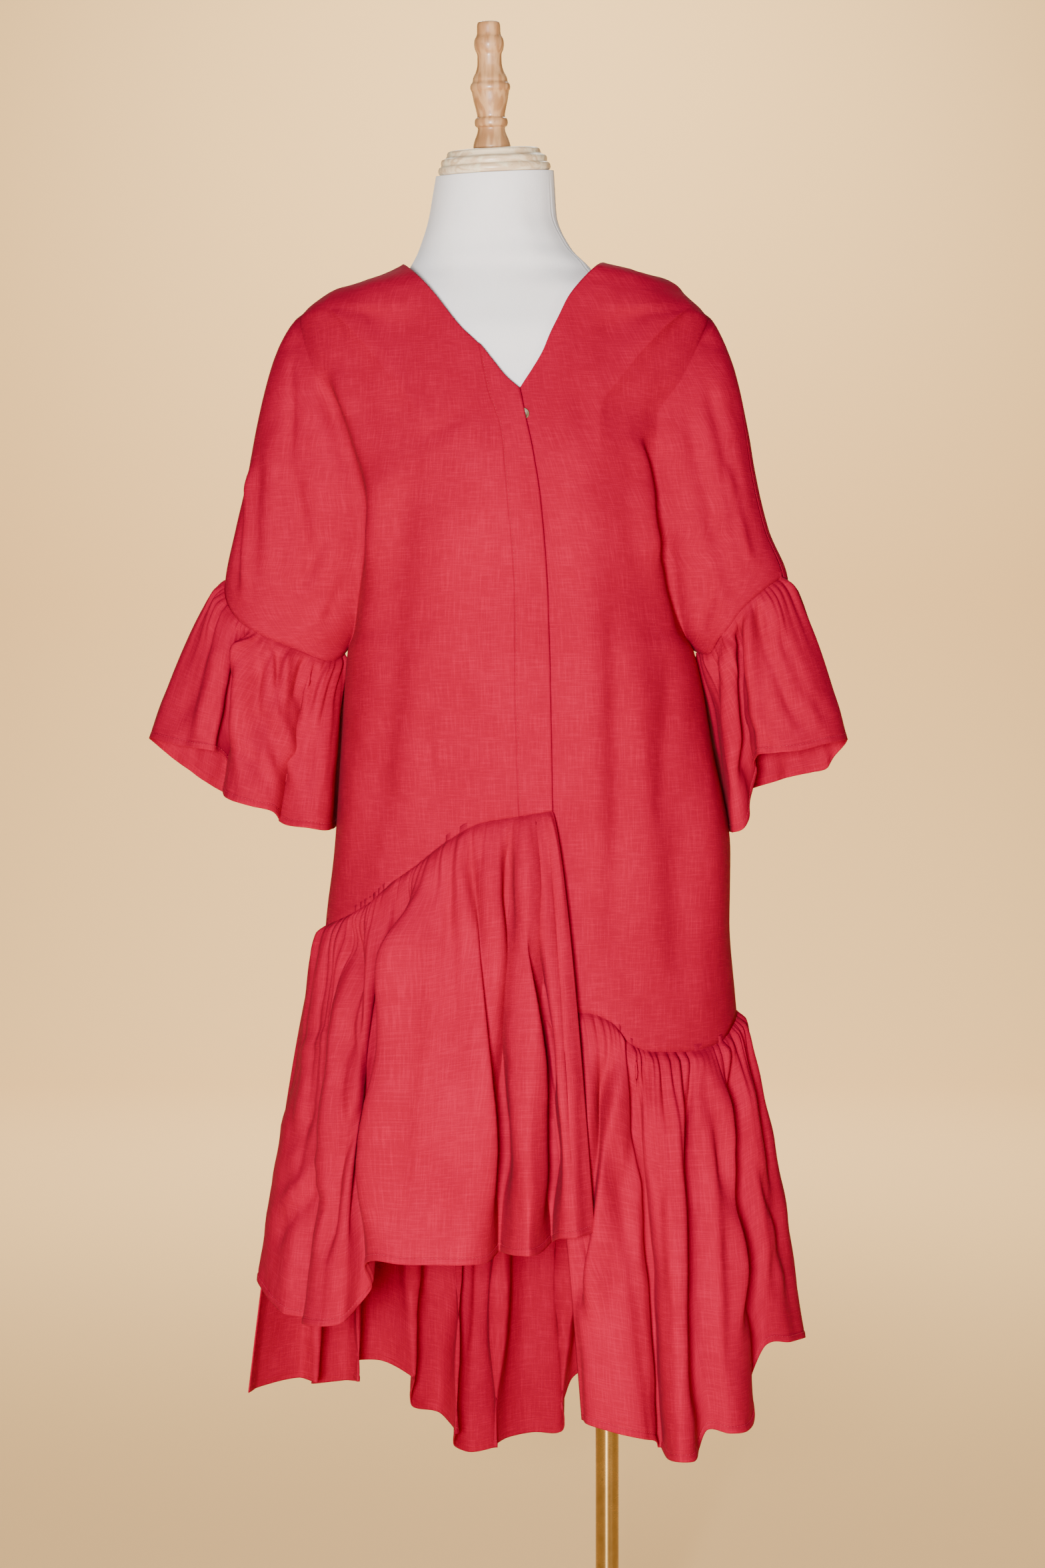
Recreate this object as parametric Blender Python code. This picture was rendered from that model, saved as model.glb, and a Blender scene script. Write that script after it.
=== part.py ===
"""Asymmetric ruffle dress on a dress form stand.

Metres, +Z up, the front faces -Y, +X is the right of the photo. The origin is the centre of the
base plate's underside. Each cloth piece is a grid of points on a named surface, with a wall
inside it.
"""

import math

import bpy
import numpy as np

# Driving sizes
WALL = 0.0012
MITRE_LIMIT = 2.4
SEAM_GAP = 0.0004
RING_GAP = 0.0004
BAND_WALL = 0.0009
BAND_LIFT = 0.0003
UNDERLAP = 0.014
UNDERLAP_SINK = 0.0036
UNDERLAP_FADE = 0.030
UNDERLAP_START = 0.008
UNDERARM_Z = 1.035
VALLEY_TOP_Z = 1.360
TIP_DROP = 0.016
NECK_Z = 1.4020
BACK_NECK_DIP = 0.010
UNDERARM_CLEAR = 0.0035
UNDERARM_CLEAR_TOP = 1.115
UNDERARM_CLEAR_FADE = 0.06
UNDERARM_OUT = 0.55
UNDERARM_DOWN = 1.1
CROTCH_CLEAR = 0.0035
CROTCH_DROP = 0.0025
CROTCH_WIDTH = 0.06
FLARE = 0.7
TURN_KEEP = 0.9
TURN_LEAST = 0.12
SETTLE_SHARE = 0.7

POLE_R = 0.0111
POLE_TOP = 0.6872
PLATE_H = 0.010
STAND_GAP = 0.0003
FINIAL_LIFT = 0.0008
FORM_BOTTOM = 0.7000
UNDER_PLATE_H = 0.0120
CAP_X = -0.1080
CAP_Z = 1.4928
CAP_TILT = math.radians(-3.0)
NECK_SLOPE = math.radians(12.0)
FINIAL_X = -0.1094
FINIAL_TILT = math.radians(-1.5)
BUTTON_R = 0.0055
BUTTON_T = 0.0014
BUTTON_LIFT = 0.0004
BUTTON_X = -0.0806
BUTTON_Z = 1.2440

# Mesh counts
BODY_ROWS_UP = 11
BODY_ROWS_DOWN = 6
SHOULDER_COLS = 5
BACK_NECK_COLS = 8
BAND_COLS = 2
SLEEVE_COLS = 5
RUFFLE_ROWS = (0.0, 0.04, 0.13, 0.30, 0.54, 0.78, 1.0)
FLOUNCE_ROWS = (0.0, 0.10, 0.32, 0.64, 1.0)
COLS_PER_POINT = 2.0
ROW_BUNCHING = 1.35

# The body by height: z, centre x, left and right edge x (side seam below the underarm, the
# valley beside the sleeve above it), the edge angle on each side in degrees, the depth of the
# valley on each side, and the depth of the front and of the back
BODY = (
    (0.640, -0.0760, -0.2820, 0.1300, 90.0, 90.0, 0.000, 0.000, 0.150, 0.150),
    (0.700, -0.0760, -0.2750, 0.1229, 90.0, 90.0, 0.000, 0.000, 0.146, 0.145),
    (0.779, -0.0755, -0.2694, 0.1171, 90.0, 90.0, 0.000, 0.000, 0.139, 0.138),
    (0.843, -0.0740, -0.2618, 0.1180, 90.0, 90.0, 0.000, 0.000, 0.134, 0.133),
    (0.940, -0.0775, -0.2555, 0.1010, 90.0, 90.0, 0.000, 0.000, 0.129, 0.127),
    (1.035, -0.0830, -0.2490, 0.0826, 90.0, 90.0, 0.000, 0.000, 0.127, 0.121),
    (1.050, -0.0850, -0.2425, 0.0730, 80.0, 81.0, 0.014, 0.014, 0.127, 0.120),
    (1.090, -0.0920, -0.2353, 0.0600, 68.0, 73.0, 0.036, 0.030, 0.128, 0.118),
    (1.120, -0.0960, -0.2315, 0.0560, 61.0, 70.0, 0.050, 0.038, 0.130, 0.116),
    (1.154, -0.0990, -0.2290, 0.0528, 56.0, 67.0, 0.060, 0.046, 0.132, 0.114),
    (1.195, -0.1000, -0.2396, 0.0447, 58.0, 60.0, 0.064, 0.056, 0.131, 0.113),
    (1.246, -0.1000, -0.2520, 0.0440, 60.0, 56.0, 0.061, 0.064, 0.121, 0.112),
    (1.287, -0.1000, -0.2744, 0.0680, 67.0, 63.0, 0.048, 0.052, 0.109, 0.109),
    (1.330, -0.1000, -0.2900, 0.0880, 76.0, 73.0, 0.026, 0.030, 0.096, 0.102),
    (1.352, -0.1000, -0.2945, 0.0955, 84.0, 82.0, 0.010, 0.012, 0.089, 0.096),
    (1.360, -0.0998, -0.2893, 0.0909, 90.0, 90.0, 0.000, 0.000, 0.087, 0.093),
    (1.3674, -0.0990, -0.2797, 0.0832, 90.0, 90.0, 0.000, 0.000, 0.085, 0.090),
    (1.3750, -0.0980, -0.2682, 0.0749, 90.0, 90.0, 0.000, 0.000, 0.082, 0.087),
    (1.3827, -0.0960, -0.2470, 0.0685, 90.0, 90.0, 0.000, 0.000, 0.079, 0.084),
    (1.3904, -0.0950, -0.2234, 0.0531, 90.0, 90.0, 0.000, 0.000, 0.076, 0.080),
    (1.3981, -0.0960, -0.2074, 0.0160, 90.0, 90.0, 0.000, 0.000, 0.073, 0.076),
    (1.4030, -0.0995, -0.1965, -0.0020, 90.0, 90.0, 0.000, 0.000, 0.071, 0.074),
)

# The sleeves by height: z, left and right outer x, depth of the front and of the back, and the
# angle at which each lobe leaves the valley
SLEEVES = (
    (1.010, -0.3730, 0.1800, 0.038, 0.040, -90.0),
    (1.035, -0.3715, 0.1790, 0.040, 0.042, -90.0),
    (1.060, -0.3700, 0.1770, 0.042, 0.045, -76.0),
    (1.103, -0.3665, 0.1735, 0.045, 0.048, -52.0),
    (1.150, -0.3568, 0.1550, 0.050, 0.053, -30.0),
    (1.200, -0.3455, 0.1430, 0.054, 0.056, -18.0),
    (1.250, -0.3362, 0.1345, 0.054, 0.055, -8.0),
    (1.300, -0.3240, 0.1232, 0.046, 0.046, 2.0),
    (1.330, -0.3132, 0.1122, 0.032, 0.032, 12.0),
    (1.352, -0.2990, 0.1004, 0.013, 0.013, 30.0),
    (1.360, -0.2893, 0.0909, 0.004, 0.004, 60.0),
)

# Where the overarm seam lies round the sleeve, in degrees: height, left, right
OVERARM = ((1.10, 90.0, 64.0), (1.25, 90.0, 70.0), (1.31, 90.0, 86.0), (1.36, 90.0, 90.0))

# The end of each sleeve, from the underarm (0) to the overarm seam (1): share, left front z,
# right front z, left back z, right back z
SLEEVE_END = (
    (0.00, 1.0350, 1.0350, 1.0350, 1.0350),
    (0.20, 1.0235, 1.0300, 1.0330, 1.0330),
    (0.40, 1.0330, 1.0470, 1.0440, 1.0480),
    (0.60, 1.0480, 1.0760, 1.0600, 1.0680),
    (0.80, 1.0720, 1.0940, 1.0820, 1.0900),
    (1.00, 1.1030, 1.1045, 1.1030, 1.1045),
)

# Lines on the front, x by height: the fold edge of the placket, its stitched edge, and the
# two sides of the neckline
FOLD_EDGE = ((0.883, -0.0541), (1.0, -0.0562), (1.075, -0.0583), (1.1275, -0.0619),
             (1.172, -0.0662), (1.21, -0.0722), (1.2334, -0.0771), (1.2674, -0.0837))
STITCH_EDGE = ((0.878, -0.0845), (0.992, -0.0880), (1.079, -0.0886), (1.120, -0.0910),
               (1.180, -0.0964), (1.227, -0.1007), (1.268, -0.1134), (1.3115, -0.1218))
NECK_LEFT = ((1.2674, -0.0837), (1.2793, -0.0971), (1.2952, -0.1094), (1.3118, -0.1218),
             (1.328, -0.1380), (1.364, -0.1650), (1.4020, -0.1968))
NECK_RIGHT = ((1.240, -0.1000), (1.272, -0.0819), (1.2879, -0.0721), (1.3045, -0.0629),
              (1.3219, -0.0560), (1.3395, -0.0477), (1.3573, -0.0394), (1.3753, -0.0265),
              (1.4020, -0.0023))
NECK_ROWS_RIGHT_FRONT = (1.2674, 1.2890, 1.3115, 1.3450, 1.3750, NECK_Z)
NECK_ROWS_LEFT_FRONT = (1.2435, 1.2800, 1.3100, 1.3420, 1.3740, NECK_Z)

# The ruffle seam, height by angle round the body (0 front, -90 left, 90 right)
SEAM_RIGHT_FRONT = ((-90, 0.7696), (-75, 0.7745), (-60.7, 0.7842), (-50, 0.7971), (-42, 0.8154),
                    (-32.6, 0.8342), (-23.8, 0.8545), (-13.6, 0.8712), (-5, 0.8762), (8, 0.8831))
SEAM_LEFT_FRONT = ((0, 0.6980), (14.7, 0.7000), (21.8, 0.6920), (27.7, 0.6700), (34, 0.6632),
                   (48, 0.6610), (62, 0.6664), (75.5, 0.6805), (90, 0.6905))
SEAM_BACK = ((-90, 0.7696), (-50, 0.7450), (0, 0.7000), (50, 0.6850), (90, 0.6905))

# Turning points of the hems: share of the seam above, then x, y, z in mm
HEM_RIGHT_FRONT = (
    (0.000, -17, -185, 511), (0.050, -34, -208, 510), (0.085, -49, -196, 507),
    (0.105, -55, -162, 498), (0.130, -66, -195, 494), (0.165, -76, -213, 495),
    (0.200, -91, -198, 493), (0.225, -102, -166, 490), (0.250, -112, -196, 486),
    (0.300, -130, -212, 487), (0.360, -159, -206, 486), (0.410, -188, -209, 487),
    (0.445, -212, -193, 487), (0.465, -224, -166, 476), (0.490, -218, -141, 452),
    (0.520, -229, -140, 436), (0.560, -243, -156, 424), (0.600, -263, -151, 420),
    (0.640, -281, -126, 417), (0.680, -280, -96, 415), (0.750, -301, -89, 418),
    (0.850, -320, -64, 427), (0.940, -330, -30, 436), (1.000, -332, -0.4, 432),
)
HEM_LEFT_FRONT = (
    (0.000, -29, -172, 342), (0.060, -22, -190, 342), (0.140, 3, -201, 337),
    (0.210, 25, -196, 331), (0.260, 38, -181, 325), (0.290, 41, -168, 316),
    (0.330, 47, -194, 313), (0.380, 57, -211, 315), (0.430, 69, -204, 314),
    (0.460, 76, -174, 318), (0.490, 84, -165, 331), (0.550, 103, -170, 329),
    (0.620, 122, -152, 327), (0.670, 131, -126, 332), (0.710, 130, -98, 362),
    (0.770, 145, -87, 388), (0.850, 168, -66, 386), (0.940, 185, -31, 382),
    (1.000, 188, -0.4, 376),
)
HEM_BACK = (
    (0.000, -345, 0.4, 322), (0.030, -340, 30, 320), (0.065, -303, 76, 318),
    (0.090, -285, 64, 316), (0.115, -293, 104, 305), (0.150, -263, 126, 303),
    (0.180, -246, 107, 306), (0.210, -258, 150, 315), (0.245, -226, 171, 312),
    (0.275, -192, 151, 298), (0.305, -197, 185, 262), (0.340, -168, 201, 250),
    (0.370, -149, 173, 235), (0.395, -151, 205, 214), (0.425, -136, 222, 203),
    (0.450, -112, 206, 212), (0.475, -110, 172, 222), (0.500, -96, 200, 224),
    (0.530, -70, 215, 226), (0.560, -42, 205, 229), (0.585, -41, 167, 262),
    (0.610, -30, 191, 288), (0.645, 0, 205, 300), (0.675, 25, 186, 305),
    (0.700, 31, 152, 312), (0.730, 56, 176, 320), (0.765, 85, 166, 330),
    (0.795, 93, 131, 340), (0.830, 121, 146, 350), (0.865, 145, 116, 358),
    (0.900, 138, 82, 365), (0.935, 168, 76, 370), (0.970, 186, 36, 376),
    (1.000, 188, 0.4, 378),
)

# Turning points of the flounce hems: share of the ring (0 overarm, 0.5 underarm), x, y, z in mm
HEM_FLOUNCE_LEFT = (
    (0.000, -441, 10, 951), (0.040, -420, -20, 946), (0.085, -395, -40, 941),
    (0.125, -374, -46, 938), (0.155, -363, -32, 934), (0.180, -360, -13, 917),
    (0.205, -366, -37, 899), (0.235, -356, -57, 892), (0.285, -335, -69, 886),
    (0.330, -316, -61, 881), (0.355, -311, -39, 872), (0.380, -303, -53, 868),
    (0.420, -286, -65, 866), (0.460, -270, -55, 863), (0.485, -265, -32, 864),
    (0.510, -264.5, -6, 864), (0.535, -261, 23, 867), (0.560, -250, 49, 870),
    (0.590, -237.5, 73, 873), (0.620, -252, 84, 877), (0.660, -286, 68, 880),
    (0.700, -322, 37, 885), (0.740, -350, 51, 890),
    (0.800, -377, 61, 899), (0.855, -397, 46, 912), (0.890, -408, 40, 921),
    (0.935, -428, 46, 935), (0.975, -440, 32, 947),
)
HEM_FLOUNCE_RIGHT = (
    (0.000, 232, 8, 950), (0.030, 222, -18, 947), (0.070, 204, -37, 944),
    (0.120, 180, -47, 938), (0.170, 157, -51, 936), (0.205, 140, -43, 934),
    (0.230, 138, -28, 930), (0.260, 142, -10, 918), (0.290, 136, -20, 898),
    (0.330, 133, -36, 877), (0.370, 126, -45, 864), (0.410, 118, -42, 861),
    (0.455, 119.5, -18, 861), (0.485, 120, 0, 861), (0.510, 119, 13, 863),
    (0.535, 114.5, 34, 867), (0.560, 104, 55, 872), (0.590, 90, 75, 878),
    (0.620, 104, 86, 885), (0.655, 128, 72, 895), (0.690, 146, 46, 903),
    (0.725, 166, 40, 909),
    (0.770, 184, 49, 914), (0.830, 202, 41, 918), (0.880, 216, 37, 922),
    (0.930, 226, 41, 936), (0.970, 233, 30, 946),
)

# The dress form: z, left and right x, depth of the front and of the back
FORM = (
    (0.7000, -0.2250, 0.0750, 0.094, 0.094),
    (0.7060, -0.2320, 0.0820, 0.101, 0.101),
    (0.7200, -0.2360, 0.0850, 0.105, 0.106),
    (0.8000, -0.2400, 0.0800, 0.108, 0.114),
    (0.9000, -0.2260, 0.0540, 0.098, 0.106),
    (1.0000, -0.2120, 0.0300, 0.088, 0.088),
    (1.0500, -0.2160, 0.0320, 0.092, 0.086),
    (1.1000, -0.2260, 0.0360, 0.104, 0.090),
    (1.1500, -0.2380, 0.0420, 0.116, 0.095),
    (1.2000, -0.2440, 0.0460, 0.120, 0.099),
    (1.2500, -0.2510, 0.0520, 0.110, 0.101),
    (1.3000, -0.2640, 0.0640, 0.096, 0.098),
    (1.3300, -0.2740, 0.0740, 0.087, 0.093),
    (1.3500, -0.2700, 0.0700, 0.078, 0.085),
    (1.3620, -0.2570, 0.0600, 0.073, 0.080),
    (1.3720, -0.2370, 0.0450, 0.069, 0.075),
    (1.3820, -0.2130, 0.0120, 0.065, 0.070),
    (1.3920, -0.1965, -0.0090, 0.062, 0.066),
    (1.4015, -0.1890, -0.0170, 0.061, 0.064),
    (1.4180, -0.1805, -0.0334, 0.058, 0.060),
    (1.4506, -0.1708, -0.0486, 0.056, 0.057),
    (1.4925, -0.1645, -0.0512, 0.055, 0.056),
)
FORM_COLS = 32
FORM_TILT_FROM = 1.43

# Turned profiles: radius and height in mm
CAP_PROFILE = ((0, 0), (50.0, 0), (53.6, 1.4), (54.2, 4.2), (53.2, 7.4), (50.6, 8.4), (51.2, 11.6),
               (50.2, 14.6), (46.2, 15.8), (45.0, 18.0), (44.6, 20.6), (42.4, 22.4), (0, 22.4))
FINIAL_PROFILE = ((0, 0), (17.8, 0), (17.9, 2.5), (16.4, 7.7), (13.6, 14.2), (12.6, 19.4),
                  (15.4, 20.5), (16.0, 24.0), (15.4, 27.5), (12.8, 28.9), (14.4, 36.5),
                  (16.4, 44.2), (17.7, 52.6), (18.8, 54.0), (19.2, 56.6), (18.6, 59.3),
                  (16.6, 61.4), (16.4, 65.1), (13.2, 70.7), (11.7, 76.2), (11.4, 86.8),
                  (13.4, 90.2), (14.4, 95.6), (13.6, 100.8), (11.2, 104.4), (11.0, 113.9),
                  (9.6, 116.5), (0, 117.3))
PLATE_PROFILE = ((0, 0), (148.0, 0), (150.0, 2.0), (150.0, 6.5), (147.5, 9.2), (144.0, 10.0), (0, 10.0))
COLLAR_PROFILE = ((11.5, 10.3), (21.0, 10.3), (22.0, 11.6), (22.0, 16.0), (18.0, 19.5),
                  (15.0, 30.0), (15.8, 32.0), (15.0, 34.0), (11.5, 34.0))
CAP_SIDES = 36
FINIAL_SIDES = 22
POLE_SIDES = 32
PLATE_SIDES = 48
BUTTON_SIDES = 20

COLOURS = {
    "cloth": (0.70, 0.035, 0.065),
    "form": (0.83, 0.78, 0.78),
    "wood": (0.78, 0.55, 0.33),
    "brass": (0.55, 0.36, 0.14),
    "button": (0.16, 0.09, 0.04),
}


def smooth(table, at, column=1):
    """A column of a table whose first column rises, as a curve that never overshoots."""
    xs = np.array([row[0] for row in table], float)
    ys = np.array([row[column] for row in table], float)
    at = np.clip(np.asarray(at, float), xs[0], xs[-1])
    steps = np.diff(ys) / np.diff(xs)
    both = steps[:-1] * steps[1:]
    total = np.where(both > 0, steps[:-1] + steps[1:], 1.0)
    slopes = np.concatenate([steps[:1], np.where(both > 0, 2 * both / total, 0.0), steps[-1:]])
    i = np.clip(np.searchsorted(xs, at) - 1, 0, len(xs) - 2)
    width = xs[i + 1] - xs[i]
    t = (at - xs[i]) / width
    rise = ys[i + 1] - ys[i]
    bend = slopes[i] * width * t * (1 - t) ** 2 - slopes[i + 1] * width * t * t * (1 - t)
    return ys[i] + rise * t * t * (3 - 2 * t) + bend


def body_point(share, z, back):
    """A point of the body: share -1 is the left edge, 1 the right edge, 0 the middle."""
    share, z = np.broadcast_arrays(np.asarray(share, float), np.asarray(z, float))
    right = share > 0
    centre = smooth(BODY, z, 1)
    edge = np.where(right, smooth(BODY, z, 3), smooth(BODY, z, 2))
    edge_angle = np.radians(np.where(right, smooth(BODY, z, 5), smooth(BODY, z, 4)))
    valley = np.where(right, smooth(BODY, z, 7), smooth(BODY, z, 6))
    depth = smooth(BODY, z, 9 if back else 8)
    angle = np.abs(share) * edge_angle
    x = centre + (edge - centre) * np.sin(angle) / np.sin(edge_angle)
    dip = (depth * np.cos(edge_angle) - valley) * np.abs(share) ** 5
    y = depth * np.cos(angle) - dip
    if back:
        return np.stack([x, y, z], -1)
    return np.stack([x, -y, z], -1)


def sink(x, z):
    """How far the under side of the front opening lies behind the upper side."""
    over = (x - smooth(FOLD_EDGE, z) - UNDERLAP_START) / UNDERLAP_FADE
    t = np.clip(over, 0, 1)
    return UNDERLAP_SINK * (1 - t * t * (3 - 2 * t))


def share_of(x, z):
    """The share at which the body has this x at this height."""
    x, z = np.broadcast_arrays(np.asarray(x, float), np.asarray(z, float))
    centre = smooth(BODY, z, 1)
    right = x > centre
    edge = np.where(right, smooth(BODY, z, 3), smooth(BODY, z, 2))
    edge_angle = np.radians(np.where(right, smooth(BODY, z, 5), smooth(BODY, z, 4)))
    sine = np.clip((x - centre) / (edge - centre) * np.sin(edge_angle), -1, 1)
    return np.where(right, 1, -1) * np.arcsin(np.abs(sine)) / edge_angle


def overarm(z, side):
    return np.radians(smooth(OVERARM, z, 2 if side > 0 else 1))


def sleeve_point(share, z, side, back):
    """A point of a sleeve: share 0 is the valley beside the body, 1 the overarm seam."""
    share, z = np.broadcast_arrays(np.asarray(share, float), np.asarray(z, float))
    right = side > 0
    near = np.clip((UNDERARM_CLEAR_TOP - z) / UNDERARM_CLEAR_FADE, 0, 1) * np.clip(share * 5, 0, 1)
    inner = smooth(BODY, z, 3 if right else 2) + side * UNDERARM_CLEAR * near
    outer = smooth(SLEEVES, z, 2 if right else 1)
    valley = smooth(BODY, z, 7 if right else 6)
    front, rear = smooth(SLEEVES, z, 3), smooth(SLEEVES, z, 4)
    start = np.radians(smooth(SLEEVES, z, 5))
    if back:
        start_here, end_here = math.pi - start, overarm(z, side)
        depth_start, sign = rear, -1
    else:
        start_here, end_here = start, overarm(z, side)
        depth_start, sign = front, 1
    angle = start_here + (end_here - start_here) * share
    depth = np.where(np.cos(angle) > 0, front, rear)
    x = inner + (outer - inner) * (np.sin(angle) - np.sin(start)) / (1 - np.sin(start))
    lift = (valley - depth_start * np.cos(start)) * (1 - share) ** 2 * sign
    y = -(depth * np.cos(angle) + lift)
    return np.stack([x, y, z], -1)


def normals_of(surface, a, z, outward):
    """Unit normals of surface(a, z) by small steps, on the side that outward names."""
    step = 1e-4
    along = surface(a + step, z) - surface(a - step, z)
    up = surface(a, z + step) - surface(a, z - step)
    made = np.cross(along, up) * outward
    return made / np.maximum(np.linalg.norm(made, axis=-1, keepdims=True), 1e-12)


def grid_faces(rows, cols, first=0, closed=False):
    """Quads of a grid stored row by row."""
    r, c = np.meshgrid(np.arange(rows - 1), np.arange(cols if closed else cols - 1), indexing="ij")
    right = (c + 1) % cols
    a, b = r * cols + c, r * cols + right
    quads = np.stack([a, b, b + cols, a + cols], -1).reshape(-1, 4)
    return quads + first


def add_object(name, points, faces, material):
    """An object from points and faces, shaded smooth."""
    mesh = bpy.data.meshes.new(name)
    mesh.from_pydata([tuple(p) for p in points], [], [tuple(int(i) for i in f) for f in faces])
    mesh.update()
    mesh.polygons.foreach_set("use_smooth", [True] * len(mesh.polygons))
    made = bpy.data.objects.new(name, mesh)
    bpy.context.scene.collection.objects.link(made)
    made.data.materials.append(material)
    return made


def triangles(face):
    """Two triangles of a quad, always cut from its lowest point, so that offset copies match."""
    face = [int(i) for i in face]
    turn = face.index(min(face))
    a, b, c, d = face[turn:] + face[:turn]
    return (a, b, c), (a, c, d)


def thicken(points, normals, faces, near, far):
    """A closed wall: the faces moved out by near, their copies moved by far, and the rim."""
    points, faces = np.asarray(points), [cut for face in faces for cut in triangles(face)]
    count = len(points)
    both = np.concatenate([points + normals * near, points + normals * far])
    edges = {}
    for face in faces:
        for a, b in zip(face, face[1:] + face[:1]):
            edges[(a, b)] = edges.get((a, b), 0) + 1
    rim = [(b, a, a + count, b + count) for a, b in edges if (b, a) not in edges]
    inner = [tuple(i + count for i in reversed(face)) for face in faces]
    return both, faces + inner + rim


def mesh_normals(points, faces):
    """The mean of the faces' normals, longer at a sharp fold so that the wall stays whole."""
    faces = np.asarray(faces)
    across = np.cross(points[faces[:, 2]] - points[faces[:, 0]],
                      points[faces[:, 3]] - points[faces[:, 1]])
    across /= np.maximum(np.linalg.norm(across, axis=1, keepdims=True), 1e-15)
    found = np.zeros_like(points)
    for corner in faces.T:
        np.add.at(found, corner, across)
    length = np.maximum(np.linalg.norm(found, axis=1), 1e-12)
    reach = np.clip(np.bincount(faces.ravel(), minlength=len(points)) / length, 1.0, MITRE_LIMIT)
    return found / length[:, None] * reach[:, None]


def rows_between(top, bottom, rows_up, rows_down):
    """Heights of a column: down to the underarm, then on to the seam."""
    steps = (np.arange(rows_up + 1) / rows_up) ** ROW_BUNCHING
    up = top + (UNDERARM_Z - top) * steps[:, None]
    down = UNDERARM_Z + (bottom - UNDERARM_Z) * (np.arange(1, rows_down + 1) / rows_down)[:, None]
    return np.concatenate([up, down])


def settle(rows):
    """How far each row has left the top edge's own spread, 0 to 1."""
    t = np.clip(np.arange(rows) / (BODY_ROWS_UP * SETTLE_SHARE), 0, 1)
    return (1 - (1 - t) ** 2)[:, None]


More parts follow.
